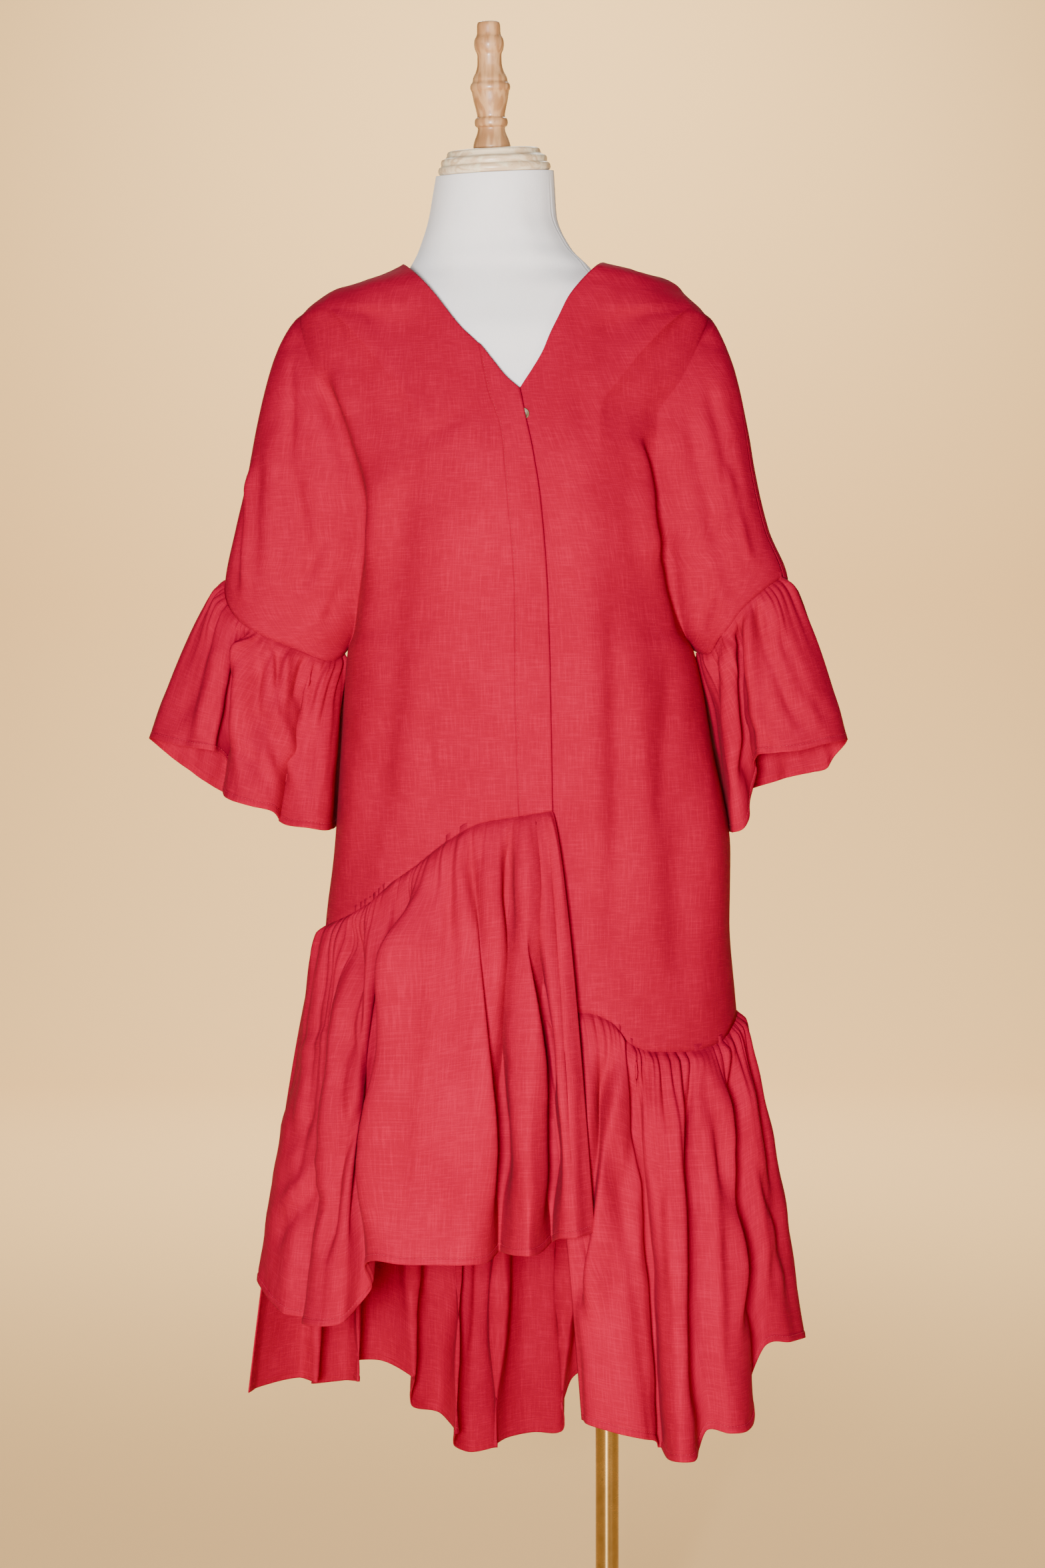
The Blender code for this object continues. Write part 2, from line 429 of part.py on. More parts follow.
class Panel:
    """One body panel with its half sleeves: outer points, normals and faces."""

    def __init__(self, top_share, top_z, low_share, bottom_z, sleeves, back, sunk=False):
        self.back = back
        self.sunk = sunk
        self.points, self.normals, self.faces, self.count = [], [], [], 0
        z = rows_between(np.asarray(top_z), np.asarray(bottom_z), BODY_ROWS_UP, BODY_ROWS_DOWN)
        low = low_share(z)
        top_low = low_share(np.asarray(top_z)[None, :])
        share = low + (np.asarray(top_share)[None, :] - top_low) * (1 - settle(len(z)))
        self.share = share
        body = self.surface(share, z)
        normal = normals_of(self.surface, share, z, self.outward)
        self.rows, self.cols = z.shape
        self.body = self.take(body, normal)
        self.faces += self.facing(grid_faces(self.rows, self.cols, self.body))
        self.sleeve_ends, self.edge_sets, self.sewn = {}, [], []
        for side, column in sleeves:
            self.add_sleeve(side, column)
        self.seam_gap()

    @property
    def outward(self):
        return -1.0 if self.back else 1.0

    def surface(self, share, z):
        found = body_point(share, z, self.back)
        if self.sunk:
            found[..., 1] += sink(found[..., 0], z)
        return found

    def take(self, points, normals):
        first = self.count
        self.points.append(points.reshape(-1, 3))
        self.normals.append(normals.reshape(-1, 3))
        self.count += points.reshape(-1, 3).shape[0]
        return first

    def facing(self, quads):
        """The patch's faces, turned so that they agree with its normals."""
        points, normals = np.concatenate(self.points), np.concatenate(self.normals)
        corners = points[quads]
        across = np.cross(corners[:, 2] - corners[:, 0], corners[:, 3] - corners[:, 1])
        turn = (across * normals[quads].mean(axis=1)).sum() < 0
        return [tuple(q[::-1]) if turn else tuple(q) for q in quads.tolist()]

    def add_sleeve(self, side, column):
        """The half sleeve beside a body column, sharing its points down to the underarm."""
        u = np.arange(1, SLEEVE_COLS + 1) / SLEEVE_COLS
        top = VALLEY_TOP_Z - TIP_DROP * u
        end_column = (2 if side > 0 else 1) + (2 if self.back else 0)
        bottom = smooth(SLEEVE_END, u, end_column)
        v = ((np.arange(BODY_ROWS_UP + 1) / BODY_ROWS_UP) ** ROW_BUNCHING)[:, None]
        z = top + (bottom - top) * v
        spread = np.minimum(1, np.arange(BODY_ROWS_UP + 1) / 2.0)[:, None]
        share = 1 - (1 - u)[None, :] * spread

        def surface(a, h):
            return sleeve_point(a, h, side, self.back)

        points = surface(share, z)
        flip = self.outward * side
        normals = normals_of(surface, share, z, flip)
        first = self.take(points, normals)
        index = np.empty((BODY_ROWS_UP + 1, SLEEVE_COLS + 1), int)
        index[:, 1:] = first + np.arange(points[..., 0].size).reshape(BODY_ROWS_UP + 1, -1)
        index[:, 0] = self.body + np.arange(BODY_ROWS_UP + 1) * self.cols + column
        quads = np.stack([index[:-1, :-1], index[:-1, 1:], index[1:, 1:], index[1:, :-1]], -1)
        self.faces += self.facing(quads.reshape(-1, 4))
        self.sleeve_ends[side] = index[-1]
        self.sewn += [index[:, -1], index[0, 1:]]
        edge = surface(np.ones(BODY_ROWS_UP + 1), z[:, -1])
        back_step = surface(np.full(BODY_ROWS_UP + 1, 0.98), z[:, -1]) - edge
        length = np.linalg.norm(back_step, axis=1, keepdims=True)
        self.edge_sets.append((index[:, -1], back_step / length * SEAM_GAP / 2))

    def seam_gap(self):
        """Moves the side and shoulder edges half a gap back from the seam."""
        points, exact = np.concatenate(self.points), np.concatenate(self.normals)
        normals = mesh_normals(points, self.faces)
        grid = self.body + np.arange(self.rows * self.cols).reshape(self.rows, self.cols)
        shift = SEAM_GAP / 2 * (1 if self.back else -1)
        edge = np.zeros(len(points), bool)
        edge[grid[:, -1][BODY_ROWS_UP:]] = True
        if self.back:
            edge[grid[:, 0][BODY_ROWS_UP:]] = True
        top = grid[0][np.abs(self.share[0]) > 0.999]
        edge[top] = True
        points[edge, 1] += shift
        kept = edge.copy()
        kept[np.concatenate(self.sewn)] = True
        normals[kept] = exact[kept]
        hem_rows = np.concatenate([grid[-1], *[end[1:] for end in self.sleeve_ends.values()]])
        normals[hem_rows] = exact[hem_rows]
        for side, end in self.sleeve_ends.items():
            normals[end[0]] = (side * UNDERARM_OUT, 0.0, -UNDERARM_DOWN)
        for column, move in self.edge_sets:
            points[column] += move
        for flat, part in ((edge, 1), (hem_rows, 2)):
            normals[flat, part] = 0
            normals[flat] /= np.linalg.norm(normals[flat], axis=1, keepdims=True)
        self.grid, self.points, self.normals = grid, points, normals

    def edge(self, index):
        """Points and normals side by side, for a piece that is sewn on there."""
        return np.hstack([self.points[index], self.normals[index]])

    def bottom(self):
        return self.edge(self.grid[-1])


def hem_curve(table, closed=False):
    """The hem as a smooth curve through its turning points: share of the seam, x, y, z."""
    rows = np.array(table, float)
    rows[:, 1:] /= 1000
    if closed:
        turn = rows[0].copy()
        turn[0] += 1.0
        rows = np.vstack([rows, turn])
    length = np.concatenate([[0], np.cumsum(np.linalg.norm(np.diff(rows[:, 1:3], axis=0), axis=1))])
    slopes = np.empty_like(rows)
    slopes[1:-1] = (rows[2:] - rows[:-2]) / (length[2:] - length[:-2])[:, None]
    slopes[0] = (rows[1] - rows[0]) / (length[1] - length[0])
    slopes[-1] = (rows[-1] - rows[-2]) / (length[-1] - length[-2])
    if closed:
        across = rows[1] - rows[0] + rows[-1] - rows[-2]
        slopes[0] = slopes[-1] = across / (length[1] + length[-1] - length[-2])
    steps = np.diff(rows[:, 1:3], axis=0)
    steps /= np.linalg.norm(steps, axis=1, keepdims=True)
    bend = (steps[1:] * steps[:-1]).sum(axis=1)
    slopes[1:-1] *= np.clip((1.0 + bend) * TURN_KEEP, TURN_LEAST, 1.0)[:, None]
    count = int(round(COLS_PER_POINT * (len(rows) - 1)))
    at = np.linspace(0, length[-1], count + 1)
    i = np.clip(np.searchsorted(length, at) - 1, 0, len(length) - 2)
    width = (length[i + 1] - length[i])[:, None]
    t = ((at - length[i]) / width[:, 0])[:, None]
    a, b, ma, mb = rows[i], rows[i + 1], slopes[i] * width, slopes[i + 1] * width
    found = (a * (1 + 2 * t) * (1 - t) ** 2 + b * t * t * (3 - 2 * t)
             + ma * t * (1 - t) ** 2 - mb * t * t * (1 - t))
    return found[:-1] if closed else found


def along(line, share):
    """Points on a polyline at these shares of its point count."""
    at = np.clip(share, 0, 1) * (len(line) - 1)
    i = np.clip(at.astype(int), 0, len(line) - 2)
    t = (at - i)[:, None]
    return line[i] * (1 - t) + line[i + 1] * t


def ruffle(name, line, table, rows, material, closed=False, crotch=0, side_seams=()):
    """A gathered piece from a seam line down to its hem.

    side_seams names the end columns (0 first, -1 last) that are sewn to another piece.
    """
    hem = hem_curve(table, closed)
    share = hem[:, 0] % 1.0 if closed else hem[:, 0].copy()
    for knot in np.linspace(0, 1, len(line))[closed:-1 if closed else None]:
        share[np.abs(share - knot).argmin()] = knot
    sewn = along(line, share)
    top, top_normals = sewn[:, :3], sewn[:, 3:]
    top[:, 2] -= RING_GAP
    if crotch:
        near = np.exp(-(((hem[:, 0] - 0.5) / CROTCH_WIDTH) ** 2))
        top[:, 0] += crotch * CROTCH_CLEAR * near
        top[:, 2] -= CROTCH_DROP * near
        top_normals = top_normals * (1, 1, 0)
    v = np.array(rows)[:, None, None]
    out = v**FLARE
    points = top[None] * (1 - out) + hem[None, :, 1:] * out
    points[..., 2] = (top[None, :, 2:] * (1 - v) + hem[None, :, 3:] * v)[..., 0]
    count = points.shape[1]
    faces = grid_faces(len(rows), count, closed=closed)
    flat = points.reshape(-1, 3)
    normals = mesh_normals(flat, faces)
    middle = flat.mean(axis=0)
    if ((flat - middle)[:, :2] * normals[:, :2]).sum() < 0:
        faces, normals = faces[:, ::-1], -normals
    normals[:count] = top_normals / np.linalg.norm(top_normals, axis=1, keepdims=True)
    for end in side_seams:
        side = slice(end % count, None, count)
        normals[side, 1] = 0
        normals[side] /= np.linalg.norm(normals[side], axis=1, keepdims=True)
    solid, quads = thicken(flat, normals, faces, 0.0, -WALL)
    return add_object(name, solid, quads, material)


def lathe(name, profile, sides, material, place=(0, 0, 0), tilt=0.0, slope=0.0):
    """A turned solid: radius and height rows in mm, both ends on the axis.

    It is tilted sideways, then sloped forward, and placed.
    """
    profile = np.array(profile, float) / 1000
    angle = np.arange(sides) * 2 * math.pi / sides
    ring = profile[1:-1]
    points = np.stack([
        ring[:, :1] * np.cos(angle), ring[:, :1] * np.sin(angle),
        np.repeat(ring[:, 1:], sides, axis=1)], -1).reshape(-1, 3)
    points = np.vstack([points, [(0, 0, profile[0, 1]), (0, 0, profile[-1, 1])]])
    low, high = len(points) - 2, len(points) - 1
    faces = [tuple(q) for q in grid_faces(len(ring), sides, closed=True).tolist()]
    last = (len(ring) - 1) * sides
    faces += [((i + 1) % sides, i, low) for i in range(sides)]
    faces += [(last + i, last + (i + 1) % sides, high) for i in range(sides)]
    turn = np.array([[math.cos(tilt), 0, math.sin(tilt)], [0, 1, 0],
                     [-math.sin(tilt), 0, math.cos(tilt)]])
    lean = np.array([[1, 0, 0], [0, math.cos(slope), -math.sin(slope)],
                     [0, math.sin(slope), math.cos(slope)]])
    return add_object(name, points @ turn.T @ lean.T + np.array(place), faces, material)


def tube(name, profile, sides, material):
    """A turned ring: the profile closes on itself round the hole."""
    profile = np.array(profile, float) / 1000
    angle = np.arange(sides) * 2 * math.pi / sides
    points = np.stack([
        profile[:, :1] * np.cos(angle), profile[:, :1] * np.sin(angle),
        np.repeat(profile[:, 1:], sides, axis=1)], -1).reshape(-1, 3)
    whole = np.arange(len(points)).reshape(len(profile), sides)
    after = np.roll(whole, -1, axis=0)
    quads = np.stack([whole, np.roll(whole, -1, axis=1), np.roll(after, -1, axis=1), after], -1)
    return add_object(name, points, quads.reshape(-1, 4).tolist(), material)


def add_button(panel, material):
    """A flat button on the under side, half out of the fold edge."""
    at = share_of(BUTTON_X, BUTTON_Z)
    share, z = np.array([at]), np.array([BUTTON_Z])
    middle, normal = panel.surface(share, z)[0], normals_of(panel.surface, share, z, 1.0)[0]
    side = np.cross((0, 0, 1), normal)
    side /= np.linalg.norm(side)
    up = np.cross(normal, side)
    angle = np.arange(BUTTON_SIDES) * 2 * math.pi / BUTTON_SIDES
    rings = []
    for radius, height in ((0.86, 0.0), (1.0, 0.3), (1.0, 0.75), (0.86, 1.0)):
        spoke = np.outer(np.cos(angle), side) + np.outer(np.sin(angle), up)
        rings.append(middle + spoke * BUTTON_R * radius
                     + normal * (BUTTON_LIFT + BUTTON_T * height))
    points, faces = ring_stack(np.array(rings))
    return add_object("button", points, faces, material)


def ring_stack(rings):
    """Faces of closed rings stacked upward, with flat fans at both ends."""
    count, sides = rings.shape[:2]
    points = np.vstack([rings.reshape(-1, 3), rings[0].mean(axis=0), rings[-1].mean(axis=0)])
    low, high = len(points) - 2, len(points) - 1
    faces = [tuple(q) for q in grid_faces(count, sides, closed=True).tolist()]
    last = (count - 1) * sides
    faces += [((i + 1) % sides, i, low) for i in range(sides)]
    faces += [(last + i, last + (i + 1) % sides, high) for i in range(sides)]
    return points, faces


def form_rings():
    """The dress form's sections, the top ones tilted and sloped with the neck cap."""
    angle = np.arange(FORM_COLS) * 2 * math.pi / FORM_COLS
    rows = np.array(FORM)[:, :, None]
    z, left, right, front, back = (rows[:, i] for i in range(5))
    centre, half = (left + right) / 2, (right - left) / 2
    x = centre + half * np.cos(angle)
    y = np.where(np.sin(angle) > 0, back, front) * np.sin(angle)
    share = np.clip((z - FORM_TILT_FROM) / (FORM[-1][0] - FORM_TILT_FROM), 0, 1)
    height = z + (y * math.tan(NECK_SLOPE) - (x - centre) * math.tan(CAP_TILT)) * share
    return np.stack([x, y, height], -1)


def under_plate():
    """The board that closes the bottom of the form."""
    base = form_rings()[0]
    middle = base.mean(axis=0)
    top = FORM_BOTTOM - STAND_GAP
    rings = []
    for scale, z in ((0.985, top - UNDER_PLATE_H), (1.0, top - UNDER_PLATE_H + 0.002),
                     (1.0, top - 0.002), (0.985, top)):
        ring = middle + (base - middle) * scale
        ring[:, 2] = z
        rings.append(ring)
    return ring_stack(np.array(rings))


def materials():
    made = {}
    for name, colour in COLOURS.items():
        material = bpy.data.materials.new(name)
        material.use_nodes = True
        shader = material.node_tree.nodes["Principled BSDF"]
        shader.inputs["Base Color"].default_value = (*colour, 1.0)
        shader.inputs["Metallic"].default_value = 1.0 if name == "brass" else 0.0
        shader.inputs["Roughness"].default_value = 0.3 if name == "brass" else 0.8
        made[name] = material
    return made


def right_front_panel():
    """The upper side of the front opening, left in the photo."""
    neck = np.array(NECK_ROWS_RIGHT_FRONT)
    shoulder = NECK_Z + (VALLEY_TOP_Z - NECK_Z) * np.arange(1, SHOULDER_COLS + 1) / SHOULDER_COLS
    top_z = np.concatenate([neck, shoulder])
    top_share = np.concatenate([share_of(smooth(NECK_LEFT, neck), neck), -np.ones(SHOULDER_COLS)])
    top_share[len(neck) - 1] = -1.0
    beyond = np.arange(1, len(top_z) - BAND_COLS) / (len(top_z) - BAND_COLS - 1)

    def low_share(z):
        z = np.broadcast_to(z, (z.shape[0], len(top_z)))
        fold = smooth(FOLD_EDGE, z)
        stitch = np.minimum(smooth(STITCH_EDGE, z), fold - 0.012)
        mix = np.minimum(np.arange(len(top_z)) / BAND_COLS, 1)
        share = share_of(fold + (stitch - fold) * mix, z)
        rest = share[:, BAND_COLS:BAND_COLS + 1]
        share[:, BAND_COLS + 1:] = rest + (-1 - rest) * beyond
        return share

    low = low_share(np.full((1, len(top_z)), 0.82))[0]
    bottom = smooth(SEAM_RIGHT_FRONT, low * 90)
    return Panel(top_share, top_z, low_share, bottom, [(-1, len(top_z) - 1)], back=False)


def left_front_panel():
    """The under side of the front opening, right in the photo."""
    neck = np.array(NECK_ROWS_LEFT_FRONT)
    shoulder = NECK_Z + (VALLEY_TOP_Z - NECK_Z) * np.arange(1, SHOULDER_COLS + 1) / SHOULDER_COLS
    top_z = np.concatenate([neck, shoulder])
    top_share = np.concatenate([share_of(smooth(NECK_RIGHT, neck), neck), np.ones(SHOULDER_COLS)])
    top_share[len(neck) - 1] = 1.0
    spread = np.arange(len(top_z)) / (len(top_z) - 1)

    def low_share(z):
        z = np.broadcast_to(z, (z.shape[0], len(top_z)))
        inner = share_of(smooth(FOLD_EDGE, z) - UNDERLAP, z)
        return inner + (1 - inner) * spread

    low = low_share(np.full((1, len(top_z)), 0.70))[0]
    bottom = smooth(SEAM_LEFT_FRONT, low * 90)
    return Panel(top_share, top_z, low_share, bottom, [(1, len(top_z) - 1)], back=False, sunk=True)


def back_panel():
    """The back, one piece with both half sleeves."""
    down = NECK_Z + (VALLEY_TOP_Z - NECK_Z) * np.arange(1, SHOULDER_COLS + 1) / SHOULDER_COLS
    across = np.linspace(-1, 1, BACK_NECK_COLS + 1)
    neck = NECK_Z - BACK_NECK_DIP * (1 - across**2)
    top_z = np.concatenate([down[::-1], neck, down])
    top_share = np.concatenate([-np.ones(SHOULDER_COLS), across, np.ones(SHOULDER_COLS)])
    spread = np.linspace(-1, 1, len(top_z))

    def low_share(z):
        return np.broadcast_to(spread, (z.shape[0], len(top_z)))

    bottom = smooth(SEAM_BACK, spread * 90)
    ends = [(-1, 0), (1, len(top_z) - 1)]
    return Panel(top_share, top_z, low_share, bottom, ends, back=True)


def add_panel(name, panel, material):
    solid, quads = thicken(panel.points, panel.normals, panel.faces, 0.0, -WALL)
    return add_object(name, solid, quads, material)


def add_band(panel, material):
    """The placket band: the first columns of the right front, moved out."""
    keep = panel.grid[:, :BAND_COLS + 1]
    points, normals = panel.points[keep.ravel()], panel.normals[keep.ravel()]
    faces = grid_faces(keep.shape[0], keep.shape[1])
    solid, quads = thicken(points, normals, faces, BAND_LIFT + BAND_WALL, BAND_LIFT)
    return add_object("placket_band", solid, quads, material)


def sleeve_ring(front, back, side):
    """The end of a sleeve: overarm, front, underarm, back, overarm."""
    ahead = front.edge(front.sleeve_ends[side])[::-1]
    behind = back.edge(back.sleeve_ends[side])
    line = np.vstack([ahead, behind[1:]])
    under = SLEEVE_COLS
    line[under, 3:] = (-side, 0, 0)
    line[0, 3:] = line[-1, 3:] = line[0, 3:] + line[-1, 3:]
    return line


def main():
    for obj in list(bpy.data.objects):
        bpy.data.objects.remove(obj)
    finish = materials()
    cloth = finish["cloth"]
    right_front, left_front, back = right_front_panel(), left_front_panel(), back_panel()
    add_panel("front_right", right_front, cloth)
    add_panel("front_left", left_front, cloth)
    add_panel("back", back, cloth)
    add_band(right_front, cloth)
    for side, front, name, table in (
        (-1, right_front, "cuff_flounce_right", HEM_FLOUNCE_LEFT),
        (1, left_front, "cuff_flounce_left", HEM_FLOUNCE_RIGHT),
    ):
        line = sleeve_ring(front, back, side)
        ruffle(name, line, table, FLOUNCE_ROWS, cloth, closed=True, crotch=side)
    for name, panel, table, sewn in (
        ("ruffle_right_front", right_front, HEM_RIGHT_FRONT, (-1,)),
        ("ruffle_left_front", left_front, HEM_LEFT_FRONT, (-1,)),
        ("ruffle_back", back, HEM_BACK, (0, -1)),
    ):
        ruffle(name, panel.bottom(), table, RUFFLE_ROWS, cloth, side_seams=sewn)
    points, faces = ring_stack(form_rings())
    add_object("form_body", points, faces, finish["form"])
    points, faces = under_plate()
    add_object("form_bottom_plate", points, faces, finish["wood"])
    lathe("neck_cap", CAP_PROFILE, CAP_SIDES, finish["wood"], (CAP_X, 0, CAP_Z), CAP_TILT,
          NECK_SLOPE)
    cap_top = CAP_PROFILE[-1][1] / 1000
    lift = cap_top + FINIAL_LIFT
    place = (FINIAL_X + cap_top * math.sin(CAP_TILT), -lift * math.sin(NECK_SLOPE),
             CAP_Z + lift * math.cos(NECK_SLOPE))
    lathe("finial", FINIAL_PROFILE, FINIAL_SIDES, finish["wood"], place, FINIAL_TILT,
          NECK_SLOPE)
    low = (PLATE_H + STAND_GAP) * 1000
    pole = ((0, low), (POLE_R * 1000, low), (POLE_R * 1000, POLE_TOP * 1000), (0, POLE_TOP * 1000))
    lathe("pole", pole, POLE_SIDES, finish["brass"])
    lathe("base_plate", PLATE_PROFILE, PLATE_SIDES, finish["brass"])
    tube("pole_collar", COLLAR_PROFILE, POLE_SIDES, finish["brass"])
    add_button(left_front, finish["button"])


main()
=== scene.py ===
"""Asymmetric ruffle dress on a dress form stand, dressed for a photograph.

Metres, +Z up, the front faces -Y and +X is the right of the picture. The origin is the centre of
the base plate's underside. Every cloth piece is a grid of points on a named surface with a thin
wall, and the stand's turned pieces are profiles carried round an axis.
"""

import logging
import math
from dataclasses import dataclass, field
from enum import Enum
from typing import Optional, Sequence, Union

import bpy
import numpy as np
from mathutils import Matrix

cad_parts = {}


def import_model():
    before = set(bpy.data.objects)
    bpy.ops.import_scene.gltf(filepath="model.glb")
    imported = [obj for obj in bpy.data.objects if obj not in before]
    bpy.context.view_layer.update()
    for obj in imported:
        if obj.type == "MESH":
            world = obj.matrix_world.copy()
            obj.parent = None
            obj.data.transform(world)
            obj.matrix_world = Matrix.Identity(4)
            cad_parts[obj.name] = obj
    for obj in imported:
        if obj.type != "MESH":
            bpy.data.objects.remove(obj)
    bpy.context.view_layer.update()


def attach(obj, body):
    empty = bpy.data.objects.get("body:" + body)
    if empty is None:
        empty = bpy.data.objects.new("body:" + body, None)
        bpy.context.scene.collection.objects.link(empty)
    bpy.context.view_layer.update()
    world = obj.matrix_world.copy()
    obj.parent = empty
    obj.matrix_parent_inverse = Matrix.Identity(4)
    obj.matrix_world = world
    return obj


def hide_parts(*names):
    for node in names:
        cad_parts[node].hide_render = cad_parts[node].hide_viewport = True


LOG = logging.getLogger("dress")

# Driving sizes, in metres
WALL = 0.0010
RING_GAP = 0.0003
BAND_WALL = 0.0009
BAND_LIFT = 0.0003
UNDERLAP = 0.014
UNDERLAP_SINK = 0.0036
UNDERLAP_FADE = 0.030
UNDERLAP_START = 0.008
UNDERARM_Z = 1.035
VALLEY_TOP_Z = 1.360
TIP_DROP = 0.016
NECK_Z = 1.4020
BACK_NECK_DIP = 0.010
UNDERARM_CLEAR = 0.0035
UNDERARM_CLEAR_TOP = 1.115
UNDERARM_CLEAR_FADE = 0.06
CROTCH_CLEAR = 0.0035
CROTCH_DROP = 0.0025
CROTCH_WIDTH = 0.06
FLARE = 0.7
TURN_KEEP = 0.9
TURN_LEAST = 0.12
ROW_BUNCHING = 1.35
ROWS_UP = 11.0
ROWS_DOWN = 6.0
SETTLE_SHARE = 0.7
BAND_COLS = 2.0
SHOULDER_COLS = 5
HEM_STITCH = 0.0062
STITCH_PITCH = 0.0034
LINE_LIFT = 0.0001
BACK_COLS = 18
BACK_NECK_HALF = 4
SOFTEN_PASSES = 70
SOFTEN_SHARE = 0.25
SOFTEN_LEAST = 0.10
SOFTEN_ALONG = 0.8
SOFTEN_FROM_Z = 1.10
SOFTEN_FULL = 0.16
SOFTEN_UNDERARM = 0.11
SOFTEN_TOP_Z = 1.352
SOFTEN_TOP_FADE = 0.02
OVERARM_FADE = 0.24
BUTTON_AT = (-0.0806, 1.2440)
BUTTON_RADIUS = 0.0055
BUTTON_BACK = -0.0004
BUTTON_THICK = 0.0014
BUTTON_SIDES = 48

# Millimetres, in metres
MM = 0.001

# The body by height: z, centre x, left and right edge x, edge angles, valley depths, and the
# depth of the front and of the back
BODY = (
    (0.640, -0.0760, -0.2820, 0.1300, 90.0, 90.0, 0.000, 0.000, 0.150, 0.150),
    (0.700, -0.0760, -0.2750, 0.1229, 90.0, 90.0, 0.000, 0.000, 0.146, 0.145),
    (0.779, -0.0755, -0.2694, 0.1171, 90.0, 90.0, 0.000, 0.000, 0.139, 0.138),
    (0.843, -0.0740, -0.2618, 0.1180, 90.0, 90.0, 0.000, 0.000, 0.134, 0.133),
    (0.940, -0.0775, -0.2555, 0.1010, 90.0, 90.0, 0.000, 0.000, 0.129, 0.127),
    (1.035, -0.0830, -0.2490, 0.0826, 90.0, 90.0, 0.000, 0.000, 0.127, 0.121),
    (1.050, -0.0850, -0.2425, 0.0730, 80.0, 81.0, 0.014, 0.014, 0.127, 0.120),
    (1.090, -0.0920, -0.2353, 0.0600, 68.0, 73.0, 0.036, 0.030, 0.128, 0.118),
    (1.120, -0.0960, -0.2315, 0.0560, 61.0, 70.0, 0.050, 0.038, 0.130, 0.116),
    (1.154, -0.0990, -0.2290, 0.0528, 56.0, 67.0, 0.060, 0.046, 0.132, 0.114),
    (1.195, -0.1000, -0.2396, 0.0447, 58.0, 60.0, 0.064, 0.056, 0.131, 0.113),
    (1.246, -0.1000, -0.2520, 0.0440, 60.0, 56.0, 0.061, 0.064, 0.121, 0.112),
    (1.287, -0.1000, -0.2744, 0.0680, 67.0, 63.0, 0.048, 0.052, 0.109, 0.109),
    (1.330, -0.1000, -0.2900, 0.0880, 76.0, 73.0, 0.026, 0.030, 0.096, 0.102),
    (1.352, -0.1000, -0.2945, 0.0955, 84.0, 82.0, 0.010, 0.012, 0.089, 0.096),
    (1.360, -0.0998, -0.2893, 0.0909, 90.0, 90.0, 0.000, 0.000, 0.087, 0.093),
    (1.3674, -0.0990, -0.2797, 0.0832, 90.0, 90.0, 0.000, 0.000, 0.085, 0.090),
    (1.3750, -0.0980, -0.2682, 0.0749, 90.0, 90.0, 0.000, 0.000, 0.082, 0.087),
    (1.3827, -0.0960, -0.2470, 0.0685, 90.0, 90.0, 0.000, 0.000, 0.079, 0.084),
    (1.3904, -0.0950, -0.2234, 0.0531, 90.0, 90.0, 0.000, 0.000, 0.076, 0.080),
    (1.3981, -0.0960, -0.2074, 0.0160, 90.0, 90.0, 0.000, 0.000, 0.073, 0.076),
    (1.4030, -0.0995, -0.1965, -0.0020, 90.0, 90.0, 0.000, 0.000, 0.071, 0.074),
)

# The sleeves by height: z, left and right outer x, front and back depth, start angle
SLEEVES = (
    (1.010, -0.3730, 0.1800, 0.038, 0.040, -90.0),
    (1.035, -0.3715, 0.1790, 0.040, 0.042, -90.0),
    (1.060, -0.3700, 0.1770, 0.042, 0.045, -76.0),
    (1.103, -0.3665, 0.1735, 0.045, 0.048, -52.0),
    (1.150, -0.3568, 0.1550, 0.050, 0.053, -30.0),
    (1.200, -0.3455, 0.1430, 0.054, 0.056, -18.0),
    (1.250, -0.3362, 0.1345, 0.054, 0.055, -8.0),
    (1.300, -0.3240, 0.1232, 0.046, 0.046, 2.0),
    (1.330, -0.3132, 0.1122, 0.032, 0.032, 12.0),
    (1.352, -0.2990, 0.1004, 0.013, 0.013, 30.0),
    (1.360, -0.2893, 0.0909, 0.004, 0.004, 60.0),
)

# Where the overarm seam lies round the sleeve, in degrees: height, left, right
OVERARM = ((1.10, 90.0, 64.0), (1.25, 90.0, 70.0), (1.31, 90.0, 86.0), (1.36, 90.0, 90.0))

# The end of each sleeve, from the underarm to the overarm seam: share, left front z, right
# front z, left back z, right back z
SLEEVE_END = (
    (0.00, 1.0350, 1.0350, 1.0350, 1.0350),
    (0.20, 1.0235, 1.0300, 1.0330, 1.0330),
    (0.40, 1.0330, 1.0470, 1.0440, 1.0480),
    (0.60, 1.0480, 1.0760, 1.0600, 1.0680),
    (0.80, 1.0720, 1.0940, 1.0820, 1.0900),
    (1.00, 1.1030, 1.1045, 1.1030, 1.1045),
)

# Lines on the front, height and x
FOLD_EDGE = ((0.883, -0.0541), (1.0, -0.0562), (1.075, -0.0583), (1.1275, -0.0619),
             (1.172, -0.0662), (1.21, -0.0722), (1.2334, -0.0771), (1.2674, -0.0837))
STITCH_EDGE = ((0.878, -0.0845), (0.992, -0.0880), (1.079, -0.0886), (1.120, -0.0910),
               (1.180, -0.0964), (1.227, -0.1007), (1.268, -0.1134), (1.3115, -0.1218))
NECK_LEFT = ((1.2674, -0.0837), (1.2793, -0.0971), (1.2952, -0.1094), (1.3118, -0.1218),
             (1.328, -0.1380), (1.364, -0.1650), (1.4020, -0.1968))
NECK_RIGHT = ((1.240, -0.1000), (1.272, -0.0819), (1.2879, -0.0721), (1.3045, -0.0629),
              (1.3219, -0.0560), (1.3395, -0.0477), (1.3573, -0.0394), (1.3753, -0.0265),
              (1.4020, -0.0023))
NECK_ROWS_RIGHT_FRONT = (1.2674, 1.2890, 1.3115, 1.3450, 1.3750, NECK_Z)
